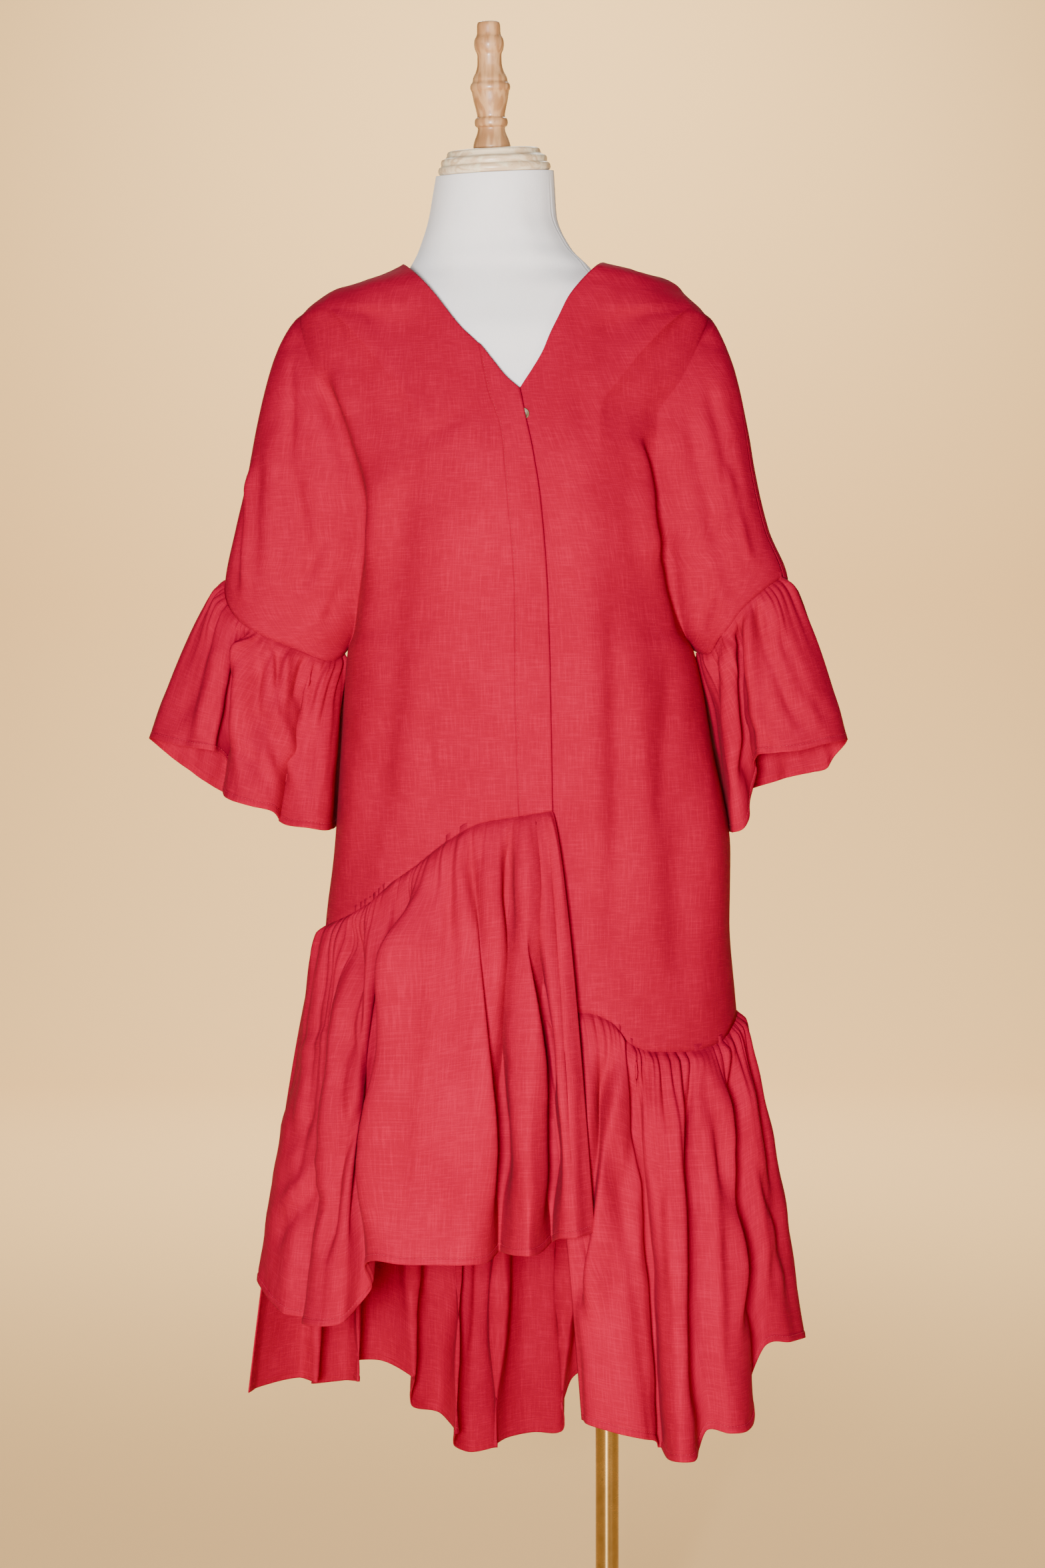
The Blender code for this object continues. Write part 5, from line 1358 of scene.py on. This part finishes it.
@dataclass
class Ruffle:
    """A gathered piece, from its seam line down to its waving hem.

    Attributes:
        name: Name of the piece, and of the solid it stands for.
        table: Turning points of the hem.
        closed: True for a cuff flounce.
        crotch: The side on which a flounce is cleared of the body, or 0.
        creases: Its listed creases, by x and z in mm.
        faces: 1 where the creases lie on the front, -1 on the back.
        gather: Distance between the small gathers in metres.
        fullness: Height of the gathers in metres.
        per_point: Columns between two turning points.
        cells: Rows down the piece.
        seed: Start of its random numbers.
        hem_lines: The lines on which its hem is stitched, with their normals.
    """

    name: str
    table: Sequence[Sequence[float]]
    closed: bool = False
    crotch: int = 0
    creases: Sequence[Sequence[float]] = ()
    faces: int = 1
    gather: float = 0.0085
    fullness: float = 0.0036
    per_point: int = 14
    cells: int = 46
    seed: int = 5
    hem_lines: list = field(default_factory=list)

    def pleats(self, s: np.ndarray, down: np.ndarray, spacing: float, seed: int) -> np.ndarray:
        """Uneven gathers along the seam.

        The profile is broad ridges with narrow valleys: 1 - 2(0.5 - 0.5 cos a)^2.2, where the
        angle a grows with the length along the seam, wanders, and drifts a little downwards.

        Args:
            s: Length along the seam.
            down: Length below the seam.
            spacing: Mean distance between gathers.
            seed: Start of the random numbers.

        Returns:
            Heights between -1 and 1.
        """
        turns = s / spacing + 0.95 * ripple(s / (spacing * 2.3), seed)
        turns = turns + down / 0.09 * 0.35 * ripple(s / (spacing * 3.7), seed + 1)
        shape = 1 - 2 * (0.5 - 0.5 * np.cos(2 * np.pi * turns)) ** 2.2
        return shape * (0.66 + 0.60 * ripple(s / (spacing * 1.7) + 9.1, seed + 2))

    def grid(self, line: np.ndarray) -> tuple:
        """The ruffle's points before its gathers.

        Each column leaves the seam and reaches the hem: its plan place turns from the seam's to
        the hem's by the depth share to the power 0.7, its height falls evenly.

        Args:
            line: Points and normals of the seam edge.

        Returns:
            Points, the seam's normals, the depth shares and the hem.
        """
        hem = hem_curve(self.table, self.closed, self.per_point)
        share = hem[:, 0] % 1.0 if self.closed else hem[:, 0]
        sewn = along(line, share)
        top, normal = sewn[:, :3].copy(), sewn[:, 3:].copy()
        top[:, 2] -= RING_GAP
        if self.crotch:
            near = np.exp(-(((hem[:, 0] - 0.5) / CROTCH_WIDTH) ** 2))
            top[:, 0] += self.crotch * CROTCH_CLEAR * near
            top[:, 2] -= CROTCH_DROP * near
        normal[:, 2] = 0
        normal = unit(normal)
        reach = float(np.linalg.norm(hem[:, 1:] - top, axis=1).mean())
        v = np.linspace(0, 1, self.cells + 1) ** 1.45
        edge = 1 - np.array([0.0100, 0.0078, 0.0068, 0.0061, 0.0054, 0.0040, 0.0020]) / reach
        v = np.unique(np.round(np.concatenate([v[v < edge[0] - 0.004], edge, [1.0]]), 6))
        w = v[:, None, None]
        points = top * (1 - w**FLARE) + hem[None, :, 1:] * w**FLARE
        points[..., 2] = top[:, 2] * (1 - v[:, None]) + hem[:, 3] * v[:, None]
        return points, normal, v, hem

    def relief(self, s: np.ndarray, v: np.ndarray, reach: np.ndarray, points: np.ndarray) -> tuple:
        """Gathers, puff, wrinkles and the turned hem along the normal, and the sideways shift of
        the overhanging folds, both in metres."""
        down = v * reach
        small = self.pleats(s, down, self.gather, self.seed) * np.exp(-down / 0.024)
        middle = self.pleats(s, down, self.gather * 2.1, self.seed + 7)
        middle = middle * np.exp(-(down / 0.085) ** 1.3)
        wide = self.pleats(s, down, self.gather * 4.3, self.seed + 13) * ease(down / 0.05)
        wide = wide * np.exp(-(down / 0.26) ** 2)
        held = 0.30 + 0.70 * ease(down / 0.007)
        rise = self.fullness * held * (0.62 * small + 0.75 * middle) + self.fullness * 0.85 * wide
        puff = 0.0022 * (down / 0.012) * np.exp(1 - down / 0.012)
        below = (1 - v) * reach
        waves = mottle(s * 34, down * 9, self.seed + 21) * 0.0022 * ease(down / 0.08)
        crumple = mottle(s * 75 + down * 30, down * 36, self.seed + 22) * 0.0008 * ease(down / 0.03)
        crumple = crumple + mottle(s * 40 - down * 26, down * 21, self.seed + 23) * 0.0010
        pucker = 0.00035 * ripple(s / 0.0052, self.seed + 30)
        pucker = pucker * np.exp(-(below - HEM_STITCH) ** 2 / 0.004**2)
        turned = 0.0006 * ease((HEM_STITCH + 0.0008 - below) / 0.0012)
        groove = -0.0005 * np.exp(-((below - HEM_STITCH) / 0.0009) ** 2)
        near = ease((0.012 - points[..., 1] * self.faces) / 0.03) * ease(down / 0.012)
        hand, shift = creases_at(self.creases, points[..., 0], points[..., 2])
        rise = rise + puff + waves + crumple + pucker + turned + groove + hand * near
        return rise, shift * near

    def build(self, line: np.ndarray, linen: bpy.types.Material) -> bpy.types.Object:
        """Builds the ruffle on a seam edge and keeps its hem for the stitches."""
        points, top_normal, v, hem = self.grid(line)
        normal = grid_normals(points, self.closed)
        middle = points.reshape(-1, 3).mean(axis=0)
        normal *= np.sign(((points - middle)[..., :2] * normal[..., :2]).sum())
        blend = ease(v / 0.10)[:, None, None]
        normal = unit(top_normal * (1 - blend) + normal * blend)
        steps = np.linalg.norm(np.diff(points[0], axis=0, prepend=points[0, :1]), axis=1)
        s = np.cumsum(steps)
        reach = np.linalg.norm(points[-1] - points[0], axis=1)
        share = hem[:, 0] % 1.0 if self.closed else hem[:, 0]
        rise, shift = self.relief(s[None], v[:, None], reach[None], points)
        end = np.minimum(share, 1 - share)
        ends = ease(end / 0.02 + 0.2) if self.closed else ease(end / 0.025)
        points = points + normal * (rise * ends)[..., None]
        points[..., 0] += shift * ends
        allowance = self.allowance(points[0], top_normal)
        points = np.concatenate([allowance, points])
        normal = grid_normals(points, self.closed)
        normal *= np.sign(((points - middle)[..., :2] * normal[..., :2]).sum())
        across = np.diff(points[-1], axis=0, prepend=points[-1, :1])
        hem_arc = np.cumsum(np.linalg.norm(across, axis=1))
        downward = np.diff(points, axis=0, prepend=points[:1])
        drop = np.cumsum(np.linalg.norm(downward, axis=-1), axis=0)
        cloth = np.stack([np.broadcast_to(hem_arc, drop.shape), -drop.mean(axis=1)[:, None]
                          + np.zeros_like(drop)], -1)
        index = np.arange(points[..., 0].size).reshape(points.shape[:2])
        quads = grid_quads(index, self.closed)
        patch = Patch(points.reshape(-1, 3), normal.reshape(-1, 3), quads,
                      cloth.reshape(-1, 2)).faced()
        self.keep_hem(points, normal, v)
        shell, faces, flat = Workshop.walled(patch)
        made = Workshop.mesh(self.name, shell, faces, "cloth", linen, flat, [self.name])
        return made

    @staticmethod
    def allowance(edge: np.ndarray, normal: np.ndarray) -> np.ndarray:
        """The seam allowance: two rows that pass up behind the panel's inner face."""
        up = np.array([0.0, 0.0, 1.0])
        far = edge - normal * (WALL + 0.0006) + up * 0.0065
        near = edge - normal * (WALL + 0.0003) + up * 0.0012
        return np.stack([far, near])

    def keep_hem(self, points: np.ndarray, normal: np.ndarray, v: np.ndarray) -> None:
        """Keeps the line on which the hem is stitched: the row nearest its stitch height."""
        reach = float(np.linalg.norm(points[-1] - points[2], axis=1).mean())
        row = 2 + int(np.abs((1 - v) * reach - HEM_STITCH).argmin())
        line, out = points[row], normal[row]
        if self.closed:
            line, out = np.vstack([line, line[:1]]), np.vstack([out, out[:1]])
        self.hem_lines = [(line + out * LINE_LIFT, out)]


@dataclass
class Dress:
    """The whole garment."""

    linen: bpy.types.Material
    thread: bpy.types.Material
    button_finish: bpy.types.Material

    def build(self) -> None:
        """Builds panels, band, ruffles, flounces, button and stitches in sewing order."""
        right = BodyPanel("front_right", NECK_ROWS_RIGHT_FRONT, NECK_LEFT, SEAM_RIGHT_FRONT,
                          (-1,), False, False, 0.82, CREASES_FRONT, seed=11)
        left = BodyPanel("front_left", NECK_ROWS_LEFT_FRONT, NECK_RIGHT, SEAM_LEFT_FRONT,
                         (1,), False, True, 0.70, CREASES_FRONT, seed=11)
        back = BodyPanel("back", (), None, SEAM_BACK, (-1, 1), True, False, 0.70,
                         CREASES_BACK, body_cells=132, seed=23)
        for panel in (right, left, back):
            panel.build(self.linen)
        self.band(right)
        self.skirt(right, left, back)
        self.cuffs(right, left, back)
        self.button(left)

    def band(self, right: BodyPanel) -> None:
        """The placket band: the panel's first columns moved out, thinned at the stitched edge."""
        blocks, patch = right.blocks, right.blocks["patch"]
        cells = int(round(right.body_cells * BAND_COLS / right.last_column()))
        top = blocks["top"][:, :cells + 1]
        low = blocks["low"][1:, :cells + 1]
        index = np.concatenate([top, low])
        points, normals = patch.points[index], patch.normals[index]
        c = np.linspace(0, 1, cells + 1)
        lift = BAND_LIFT + BAND_WALL * ease((1 - c) / 0.10 + 0.25)
        outer = points + normals * lift[None, :, None]
        inner = points + normals * BAND_LIFT
        count = index.size
        grid = np.arange(count).reshape(index.shape)
        face = Patch(outer.reshape(-1, 3), normals.reshape(-1, 3), grid_quads(grid),
                     patch.cloth[index].reshape(-1, 2)).faced()
        shell, faces, flat = Workshop.walled(face)
        shell[count:] = inner.reshape(-1, 3)
        made = Workshop.mesh("placket_band", shell, faces, "cloth", self.linen, flat,
                             ["placket_band"])
        near = max(1, int(cells * 0.10))
        rows = slice(2, -1)
        line = outer[rows, cells - near] + normals[rows, cells - near] * LINE_LIFT
        Stitching().build("placket_stitches", [(line, normals[rows, cells - near])], self.thread)

    def skirt(self, right: BodyPanel, left: BodyPanel, back: BodyPanel) -> None:
        """The three hem ruffles with their hem stitches."""
        rows = []
        for panel, ruffle in (
            (right, Ruffle("ruffle_right_front", HEM_RIGHT_FRONT,
                           creases=CREASES_RUFFLE_RIGHT, seed=31, fullness=0.0046)),
            (left, Ruffle("ruffle_left_front", HEM_LEFT_FRONT,
                          creases=CREASES_RUFFLE_LEFT, seed=51, fullness=0.0046)),
            (back, Ruffle("ruffle_back", HEM_BACK, creases=CREASES_RUFFLE_BACK,
                          faces=-1, seed=71, per_point=13)),
        ):
            ruffle.build(panel.bottom(), self.linen)
            rows += ruffle.hem_lines
        Stitching().build("hem_stitches", rows, self.thread)

    def cuffs(self, right: BodyPanel, left: BodyPanel, back: BodyPanel) -> None:
        """The two sleeve flounces with their hem stitches."""
        rows = []
        for side, front, name, table, seed in (
            (-1, right, "cuff_flounce_right", HEM_FLOUNCE_LEFT, 91),
            (1, left, "cuff_flounce_left", HEM_FLOUNCE_RIGHT, 111),
        ):
            ahead = front.sleeve_end(side)[::-1]
            behind = back.sleeve_end(side)
            line = np.vstack([ahead, behind[1:]])
            under = len(ahead) - 1
            near = np.exp(-((np.arange(len(line)) - under) / 3.0) ** 2)[:, None]
            line[:, 3:] = line[:, 3:] * (1 - near) + np.array([-side, 0, 0]) * near
            creases = CREASES_FLOUNCE_LEFT if side < 0 else CREASES_FLOUNCE_RIGHT
            flounce = Ruffle(name, table, True, side, creases, gather=0.0078, fullness=0.0027,
                             per_point=11, cells=34, seed=seed)
            flounce.build(line, self.linen)
            rows += flounce.hem_lines
        Stitching().build("cuff_stitches", rows, self.thread)

    def button(self, left: BodyPanel) -> None:
        """The button on the under side: a rimmed disc with a dished face."""
        x, z = BUTTON_AT
        at = share_of(np.array(x), np.array(z))
        middle = left.surface(np.array([at]), np.array([z]))[0]
        angle = np.linspace(0, 2 * np.pi, BUTTON_SIDES, endpoint=False)
        rings = [np.stack([np.cos(angle) * BUTTON_RADIUS * radius,
                           np.full_like(angle, BUTTON_BACK - BUTTON_THICK * height),
                           np.sin(angle) * BUTTON_RADIUS * radius], -1)
                 for radius, height in BUTTON_PROFILE]
        points = np.array(rings) + middle
        index = np.arange(points[..., 0].size).reshape(points.shape[:2])
        Workshop.mesh("button", points.reshape(-1, 3), grid_quads(index, True),
                      "button", self.button_finish, None, ["button"])


# The dress form: z, left and right x, front and back depth
FORM = (
    (0.7000, -0.2250, 0.0750, 0.094, 0.094), (0.7060, -0.2320, 0.0820, 0.101, 0.101),
    (0.7200, -0.2360, 0.0850, 0.105, 0.106), (0.8000, -0.2400, 0.0800, 0.108, 0.114),
    (0.9000, -0.2260, 0.0540, 0.098, 0.106), (1.0000, -0.2120, 0.0300, 0.088, 0.088),
    (1.0500, -0.2160, 0.0320, 0.092, 0.086), (1.1000, -0.2260, 0.0360, 0.104, 0.090),
    (1.1500, -0.2380, 0.0420, 0.116, 0.095), (1.2000, -0.2440, 0.0460, 0.120, 0.099),
    (1.2500, -0.2510, 0.0520, 0.110, 0.101), (1.3000, -0.2640, 0.0640, 0.096, 0.098),
    (1.3300, -0.2740, 0.0740, 0.087, 0.093), (1.3500, -0.2700, 0.0700, 0.078, 0.085),
    (1.3620, -0.2570, 0.0600, 0.073, 0.080), (1.3720, -0.2370, 0.0450, 0.069, 0.075),
    (1.3820, -0.2130, 0.0120, 0.065, 0.070), (1.3920, -0.1965, -0.0090, 0.062, 0.066),
    (1.4015, -0.1890, -0.0170, 0.061, 0.064), (1.4180, -0.1805, -0.0334, 0.058, 0.060),
    (1.4506, -0.1708, -0.0486, 0.056, 0.057), (1.4925, -0.1645, -0.0512, 0.055, 0.056),
)

# Turned profiles: radius and height in mm
CAP_PROFILE = ((0, 0), (50.0, 0), (53.6, 1.4), (54.2, 4.2), (53.2, 7.4), (50.6, 8.4), (51.2, 11.6),
               (50.2, 14.6), (46.2, 15.8), (45.0, 18.0), (44.6, 20.6), (42.4, 22.4), (0, 22.4))
FINIAL_PROFILE = ((0, 0), (17.8, 0), (17.9, 2.5), (16.4, 7.7), (13.6, 14.2), (12.6, 19.4),
                  (15.4, 20.5), (16.0, 24.0), (15.4, 27.5), (12.8, 28.9), (14.4, 36.5),
                  (16.4, 44.2), (17.7, 52.6), (18.8, 54.0), (19.2, 56.6), (18.6, 59.3),
                  (16.6, 61.4), (16.4, 65.1), (13.2, 70.7), (11.7, 76.2), (11.4, 86.8),
                  (13.4, 90.2), (14.4, 95.6), (13.6, 100.8), (11.2, 104.4), (11.0, 113.9),
                  (9.6, 116.5), (0, 117.3))
PLATE_PROFILE = ((0, 0), (148.0, 0), (150.0, 2.0), (150.0, 6.5), (147.5, 9.2), (144.0, 10.0),
                 (0, 10.0))
COLLAR_PROFILE = ((11.5, 10.3), (21.0, 10.3), (22.0, 11.6), (22.0, 16.0), (18.0, 19.5),
                  (15.0, 30.0), (15.8, 32.0), (15.0, 34.0), (11.5, 34.0))
POLE_PROFILE = ((0, 10.3), (11.1, 10.3), (11.1, 687.2), (0, 687.2))

# The bottom board's rings: share of the form's section, height from its underside or its top
BOARD_RINGS = ((0.985, 0.0, False), (0.996, 0.0006, False), (1.0, 0.0022, False),
               (1.0, -0.0022, True), (0.996, -0.0006, True), (0.985, 0.0, True))

# The form's cover seams: angle in degrees and the height at which they end
COVER_SEAMS = ((222.0, 1.36), (318.0, 1.36), (0.0, 1.49), (180.0, 1.49), (90.0, 1.49),
               (335.0, 1.49))


@dataclass
class Stand:
    """The limbless form with its cap, finial, pole and base plate."""

    cover: bpy.types.Material
    cap_wood: bpy.types.Material
    finial_wood: bpy.types.Material
    brass: bpy.types.Material
    form_bottom: float = 0.7000
    under_plate: float = 0.0120
    gap: float = 0.0003
    cap_place: tuple = (-0.1080, 0.0, 1.4928)
    cap_tilt: float = math.radians(-3.0)
    neck_slope: float = math.radians(12.0)
    finial_x: float = -0.1094
    finial_tilt: float = math.radians(-1.5)
    finial_lift: float = 0.0008
    tilt_from: float = 1.43
    form_sides: int = 240
    board_sides: int = 160
    seam_depth: float = 0.0007
    seam_swell: float = 0.0004

    def build(self) -> None:
        """Builds the form and every turned piece."""
        self.form()
        self.bottom_board()
        self.turned("neck_cap", CAP_PROFILE, 128, self.cap_wood, "wood", self.cap_place,
                    self.cap_tilt, self.neck_slope)
        top = CAP_PROFILE[-1][1] / 1000
        lift = top + self.finial_lift
        place = (self.finial_x + top * math.sin(self.cap_tilt), -lift * math.sin(self.neck_slope),
                 self.cap_place[2] + lift * math.cos(self.neck_slope))
        self.turned("finial", FINIAL_PROFILE, 96, self.finial_wood, "wood", place,
                    self.finial_tilt, self.neck_slope)
        self.turned("pole", POLE_PROFILE, 96, self.brass, "brass")
        self.turned("base_plate", PLATE_PROFILE, 160, self.brass, "brass")
        self.turned("pole_collar", COLLAR_PROFILE + COLLAR_PROFILE[:1], 96, self.brass, "brass")

    def section(self, z: np.ndarray, cols: int) -> np.ndarray:
        """The form's sections: two half ellipses each, the top ones tilted with the cap."""
        angle = np.linspace(0, 2 * np.pi, cols, endpoint=False)
        left, right, front, back = (smooth(FORM, z, i)[:, None] for i in (1, 2, 3, 4))
        centre, half = (left + right) / 2, (right - left) / 2
        x = centre + half * np.cos(angle)
        y = np.where(np.sin(angle) > 0, back, front) * np.sin(angle)
        share = np.clip((z[:, None] - self.tilt_from) / (FORM[-1][0] - self.tilt_from), 0, 1)
        fall = y * math.tan(self.neck_slope) - (x - centre) * math.tan(self.cap_tilt)
        return np.stack([x, y, z[:, None] + fall * share], -1)

    def form(self) -> None:
        """The padded form with its sewn cover seams: shallow grooves along fixed angles."""
        z = np.unique(np.concatenate([np.linspace(0.7000, 1.4925, 190), [0.7012, 0.7024, 1.4915]]))
        rings = self.section(z, self.form_sides)
        normal = grid_normals(rings, True)
        centre = rings.mean(axis=1, keepdims=True)
        normal *= np.sign(((rings - centre)[..., :2] * normal[..., :2]).sum())
        angle = np.linspace(0, 360, self.form_sides, endpoint=False)
        groove = np.zeros(rings.shape[:2])
        for seam, high in COVER_SEAMS:
            line = seam + 3.0 * np.sin(z * 9.0)[:, None]
            off = (angle - line + 180) % 360 - 180
            shut = ease((high - z) / 0.02)[:, None]
            groove -= self.seam_depth * np.exp(-((off / 1.1) ** 2)) * shut
            groove += self.seam_swell * np.exp(-(((np.abs(off) - 2.6) / 1.6) ** 2)) * shut
        waves = mottle(angle / 14.0, z[:, None] * 9.0, 3) * 0.0003
        waves = waves * ease((1.485 - z) / 0.02)[:, None]
        rings = rings + normal * (groove + waves * ease((z - 0.72) / 0.02)[:, None])[..., None]
        self.closed_rings("form_body", rings, self.cover, "form_cover")

    def bottom_board(self) -> None:
        """The board that closes the form: its lowest section, thinned at both faces' edges."""
        base = self.section(np.array([self.form_bottom]), self.board_sides)[0]
        middle = base.mean(axis=0)
        top = self.form_bottom - self.gap
        rings = []
        for scale, height, upper in BOARD_RINGS:
            ring = middle + (base - middle) * scale
            ring[:, 2] = (top if upper else top - self.under_plate) + height
            rings.append(ring)
        self.closed_rings("form_bottom_plate", np.array(rings), self.finial_wood, "wood")

    @staticmethod
    def closed_rings(name: str, rings: np.ndarray, material: bpy.types.Material, slot: str) -> None:
        """Rings stacked into one solid, closed by fans at both ends."""
        count, sides = rings.shape[:2]
        ends = np.array([rings[0].mean(axis=0), rings[-1].mean(axis=0)])
        points = np.vstack([rings.reshape(-1, 3), ends])
        index = np.arange(count * sides).reshape(count, sides)
        faces = grid_quads(index, True).tolist()
        low, high = index[0], index[-1]
        faces += np.stack([np.roll(low, -1), low, np.full(sides, count * sides)], -1).tolist()
        faces += np.stack([high, np.roll(high, -1), np.full(sides, count * sides + 1)], -1).tolist()
        Workshop.mesh(name, points, faces, slot, material, None, [name])

    @staticmethod
    def rounded(profile: Sequence[Sequence[float]]) -> np.ndarray:
        """A profile with its corners cut three times: each cut takes a quarter of an edge, and at
        most 1.2 mm, off both its ends."""
        line = np.array(profile, float) / 1000
        for _ in range(3):
            steps = np.diff(line, axis=0)
            length = np.maximum(np.linalg.norm(steps, axis=1), 1e-9)
            cut = np.minimum(0.25, 0.0012 / length)[:, None]
            inner = np.stack([line[:-1] + steps * cut, line[1:] - steps * cut], 1).reshape(-1, 2)
            line = np.vstack([line[:1], inner[1:-1], line[-1:]])
        return line

    def turned(self, name: str, profile: Sequence[Sequence[float]], sides: int,
               material: bpy.types.Material, slot: str, place: tuple = (0.0, 0.0, 0.0),
               tilt: float = 0.0, slope: float = 0.0) -> None:
        """A turned piece: the rounded profile carried round the axis, tilted sideways, sloped
        forward and placed."""
        line = self.rounded(profile)
        angle = np.linspace(0, 2 * np.pi, sides, endpoint=False)
        points = np.stack([line[:, :1] * np.cos(angle), line[:, :1] * np.sin(angle),
                           np.repeat(line[:, 1:], sides, axis=1)], -1)
        turn = np.array([[math.cos(tilt), 0, math.sin(tilt)], [0, 1, 0],
                         [-math.sin(tilt), 0, math.cos(tilt)]])
        lean = np.array([[1, 0, 0], [0, math.cos(slope), -math.sin(slope)],
                         [0, math.sin(slope), math.cos(slope)]])
        points = points @ turn.T @ lean.T + np.array(place)
        if profile[0][0] == 0:
            self.closed_rings(name, points[1:-1], material, slot)
            return
        index = np.arange((len(line) - 1) * sides).reshape(-1, sides)
        index = np.vstack([index, index[:1]])
        Workshop.mesh(name, points[:-1].reshape(-1, 3), grid_quads(index, True), slot,
                      material, None, [name])


@dataclass
class Studio:
    """Plain pale sweep, soft lights and the camera."""

    eye: tuple = (-0.0813, -2.3, 0.9066)
    lens: float = 55.0
    sensor: float = 36.0
    floor_start: float = -8.0
    floor_end: float = 4.9
    sweep_radius: float = 1.6
    wall_top: float = 8.0
    half_width: float = 9.0
    sweep_cells: int = 48

    def build(self) -> None:
        """Builds backdrop, lights, air light and camera."""
        self.sweep()
        self.light("key", (-0.34, -2.45, 0.84), (-0.08, 0.0, 0.88), 0.42, 136.0, (1.0, 0.985, 0.97))
        self.light("fill", (2.0, -2.4, 1.2), (-0.08, 0.0, 0.85), 1.0, 14.0, (1.0, 0.985, 0.97))
        self.light("wall", (0.0, 3.4, 4.3), (-0.1, 6.5, 1.6), 2.4, 330.0, (1.0, 0.97, 0.90))
        self.light("floor", (0.0, 2.6, 3.6), (-0.1, 3.2, 0.0), 2.0, 140.0, (1.0, 0.97, 0.90))
        world = bpy.data.worlds.new("air")
        world.use_nodes = True
        shade = world.node_tree.nodes["Background"]
        shade.inputs["Color"].default_value = (1.0, 0.975, 0.94, 1.0)
        shade.inputs["Strength"].default_value = 0.05
        bpy.context.scene.world = world
        data = bpy.data.cameras.new("camera")
        data.lens = self.lens
        data.sensor_width = self.sensor
        camera = bpy.data.objects.new("camera", data)
        camera.location = self.eye
        camera.rotation_euler = (math.radians(90), 0, 0)
        bpy.context.scene.collection.objects.link(camera)
        bpy.context.scene.camera = camera

    def sweep(self) -> None:
        """Floor and wall in one: a quarter circle joins the level floor to the upright wall,
        far enough back that a camera behind the dress stands in front of it."""
        turn = np.linspace(0, math.pi / 2, self.sweep_cells)
        start, radius = self.floor_end, self.sweep_radius
        y = np.concatenate([[self.floor_start], start + radius * np.sin(turn), [start + radius]])
        z = np.concatenate([[0.0], radius - radius * np.cos(turn), [self.wall_top]]) - 0.0005
        x = np.array([-self.half_width, self.half_width])
        points = np.stack([np.repeat(x[None], len(y), 0), np.repeat(y[:, None], 2, 1),
                           np.repeat(z[:, None], 2, 1)], -1)
        index = np.arange(points[..., 0].size).reshape(points.shape[:2])
        data = bpy.data.meshes.new("sweep")
        data.from_pydata(points.reshape(-1, 3).tolist(), [], grid_quads(index).tolist())
        data.polygons.foreach_set("use_smooth", np.ones(len(data.polygons), bool))
        data.materials.append(PaperSweep().build())
        made = bpy.data.objects.new("sweep", data)
        bpy.context.scene.collection.objects.link(made)

    @staticmethod
    def light(name: str, place: tuple, target: tuple, size: float, power: float,
              colour: tuple) -> None:
        """One square area light that looks at a target."""
        data = bpy.data.lights.new(name, "AREA")
        data.size = size
        data.energy = power
        data.color = colour
        made = bpy.data.objects.new(name, data)
        made.location = place
        aim = np.array(target) - np.array(place)
        flat = math.hypot(aim[0], aim[1])
        made.rotation_euler = (math.atan2(flat, -aim[2]), 0, math.atan2(-aim[0], aim[1]))
        bpy.context.scene.collection.objects.link(made)


def main() -> None:
    """Loads the frame, builds the garment, the stand and the studio, and notes the sizes."""
    logging.basicConfig(level=logging.INFO, format="%(message)s")
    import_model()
    Dress(RedLinen().build(), SewingThread().build(), HornButton().build()).build()
    pale = TurnedWood("cap_wood", (0.95, 0.76, 0.51, 1.0), (0.72, 0.50, 0.29, 1.0), Cut.ACROSS,
                      gloss=0.2, worn=0.5)
    tan = TurnedWood("finial_wood", (0.64, 0.345, 0.155, 1.0), (0.44, 0.205, 0.082, 1.0), Cut.ALONG,
                     gloss=0.3, worn=0.2)
    Stand(FormCover().build(), pale.build(), tan.build(), AgedBrass().build()).build()
    Studio().build()


if __name__ == "__main__":
    main()
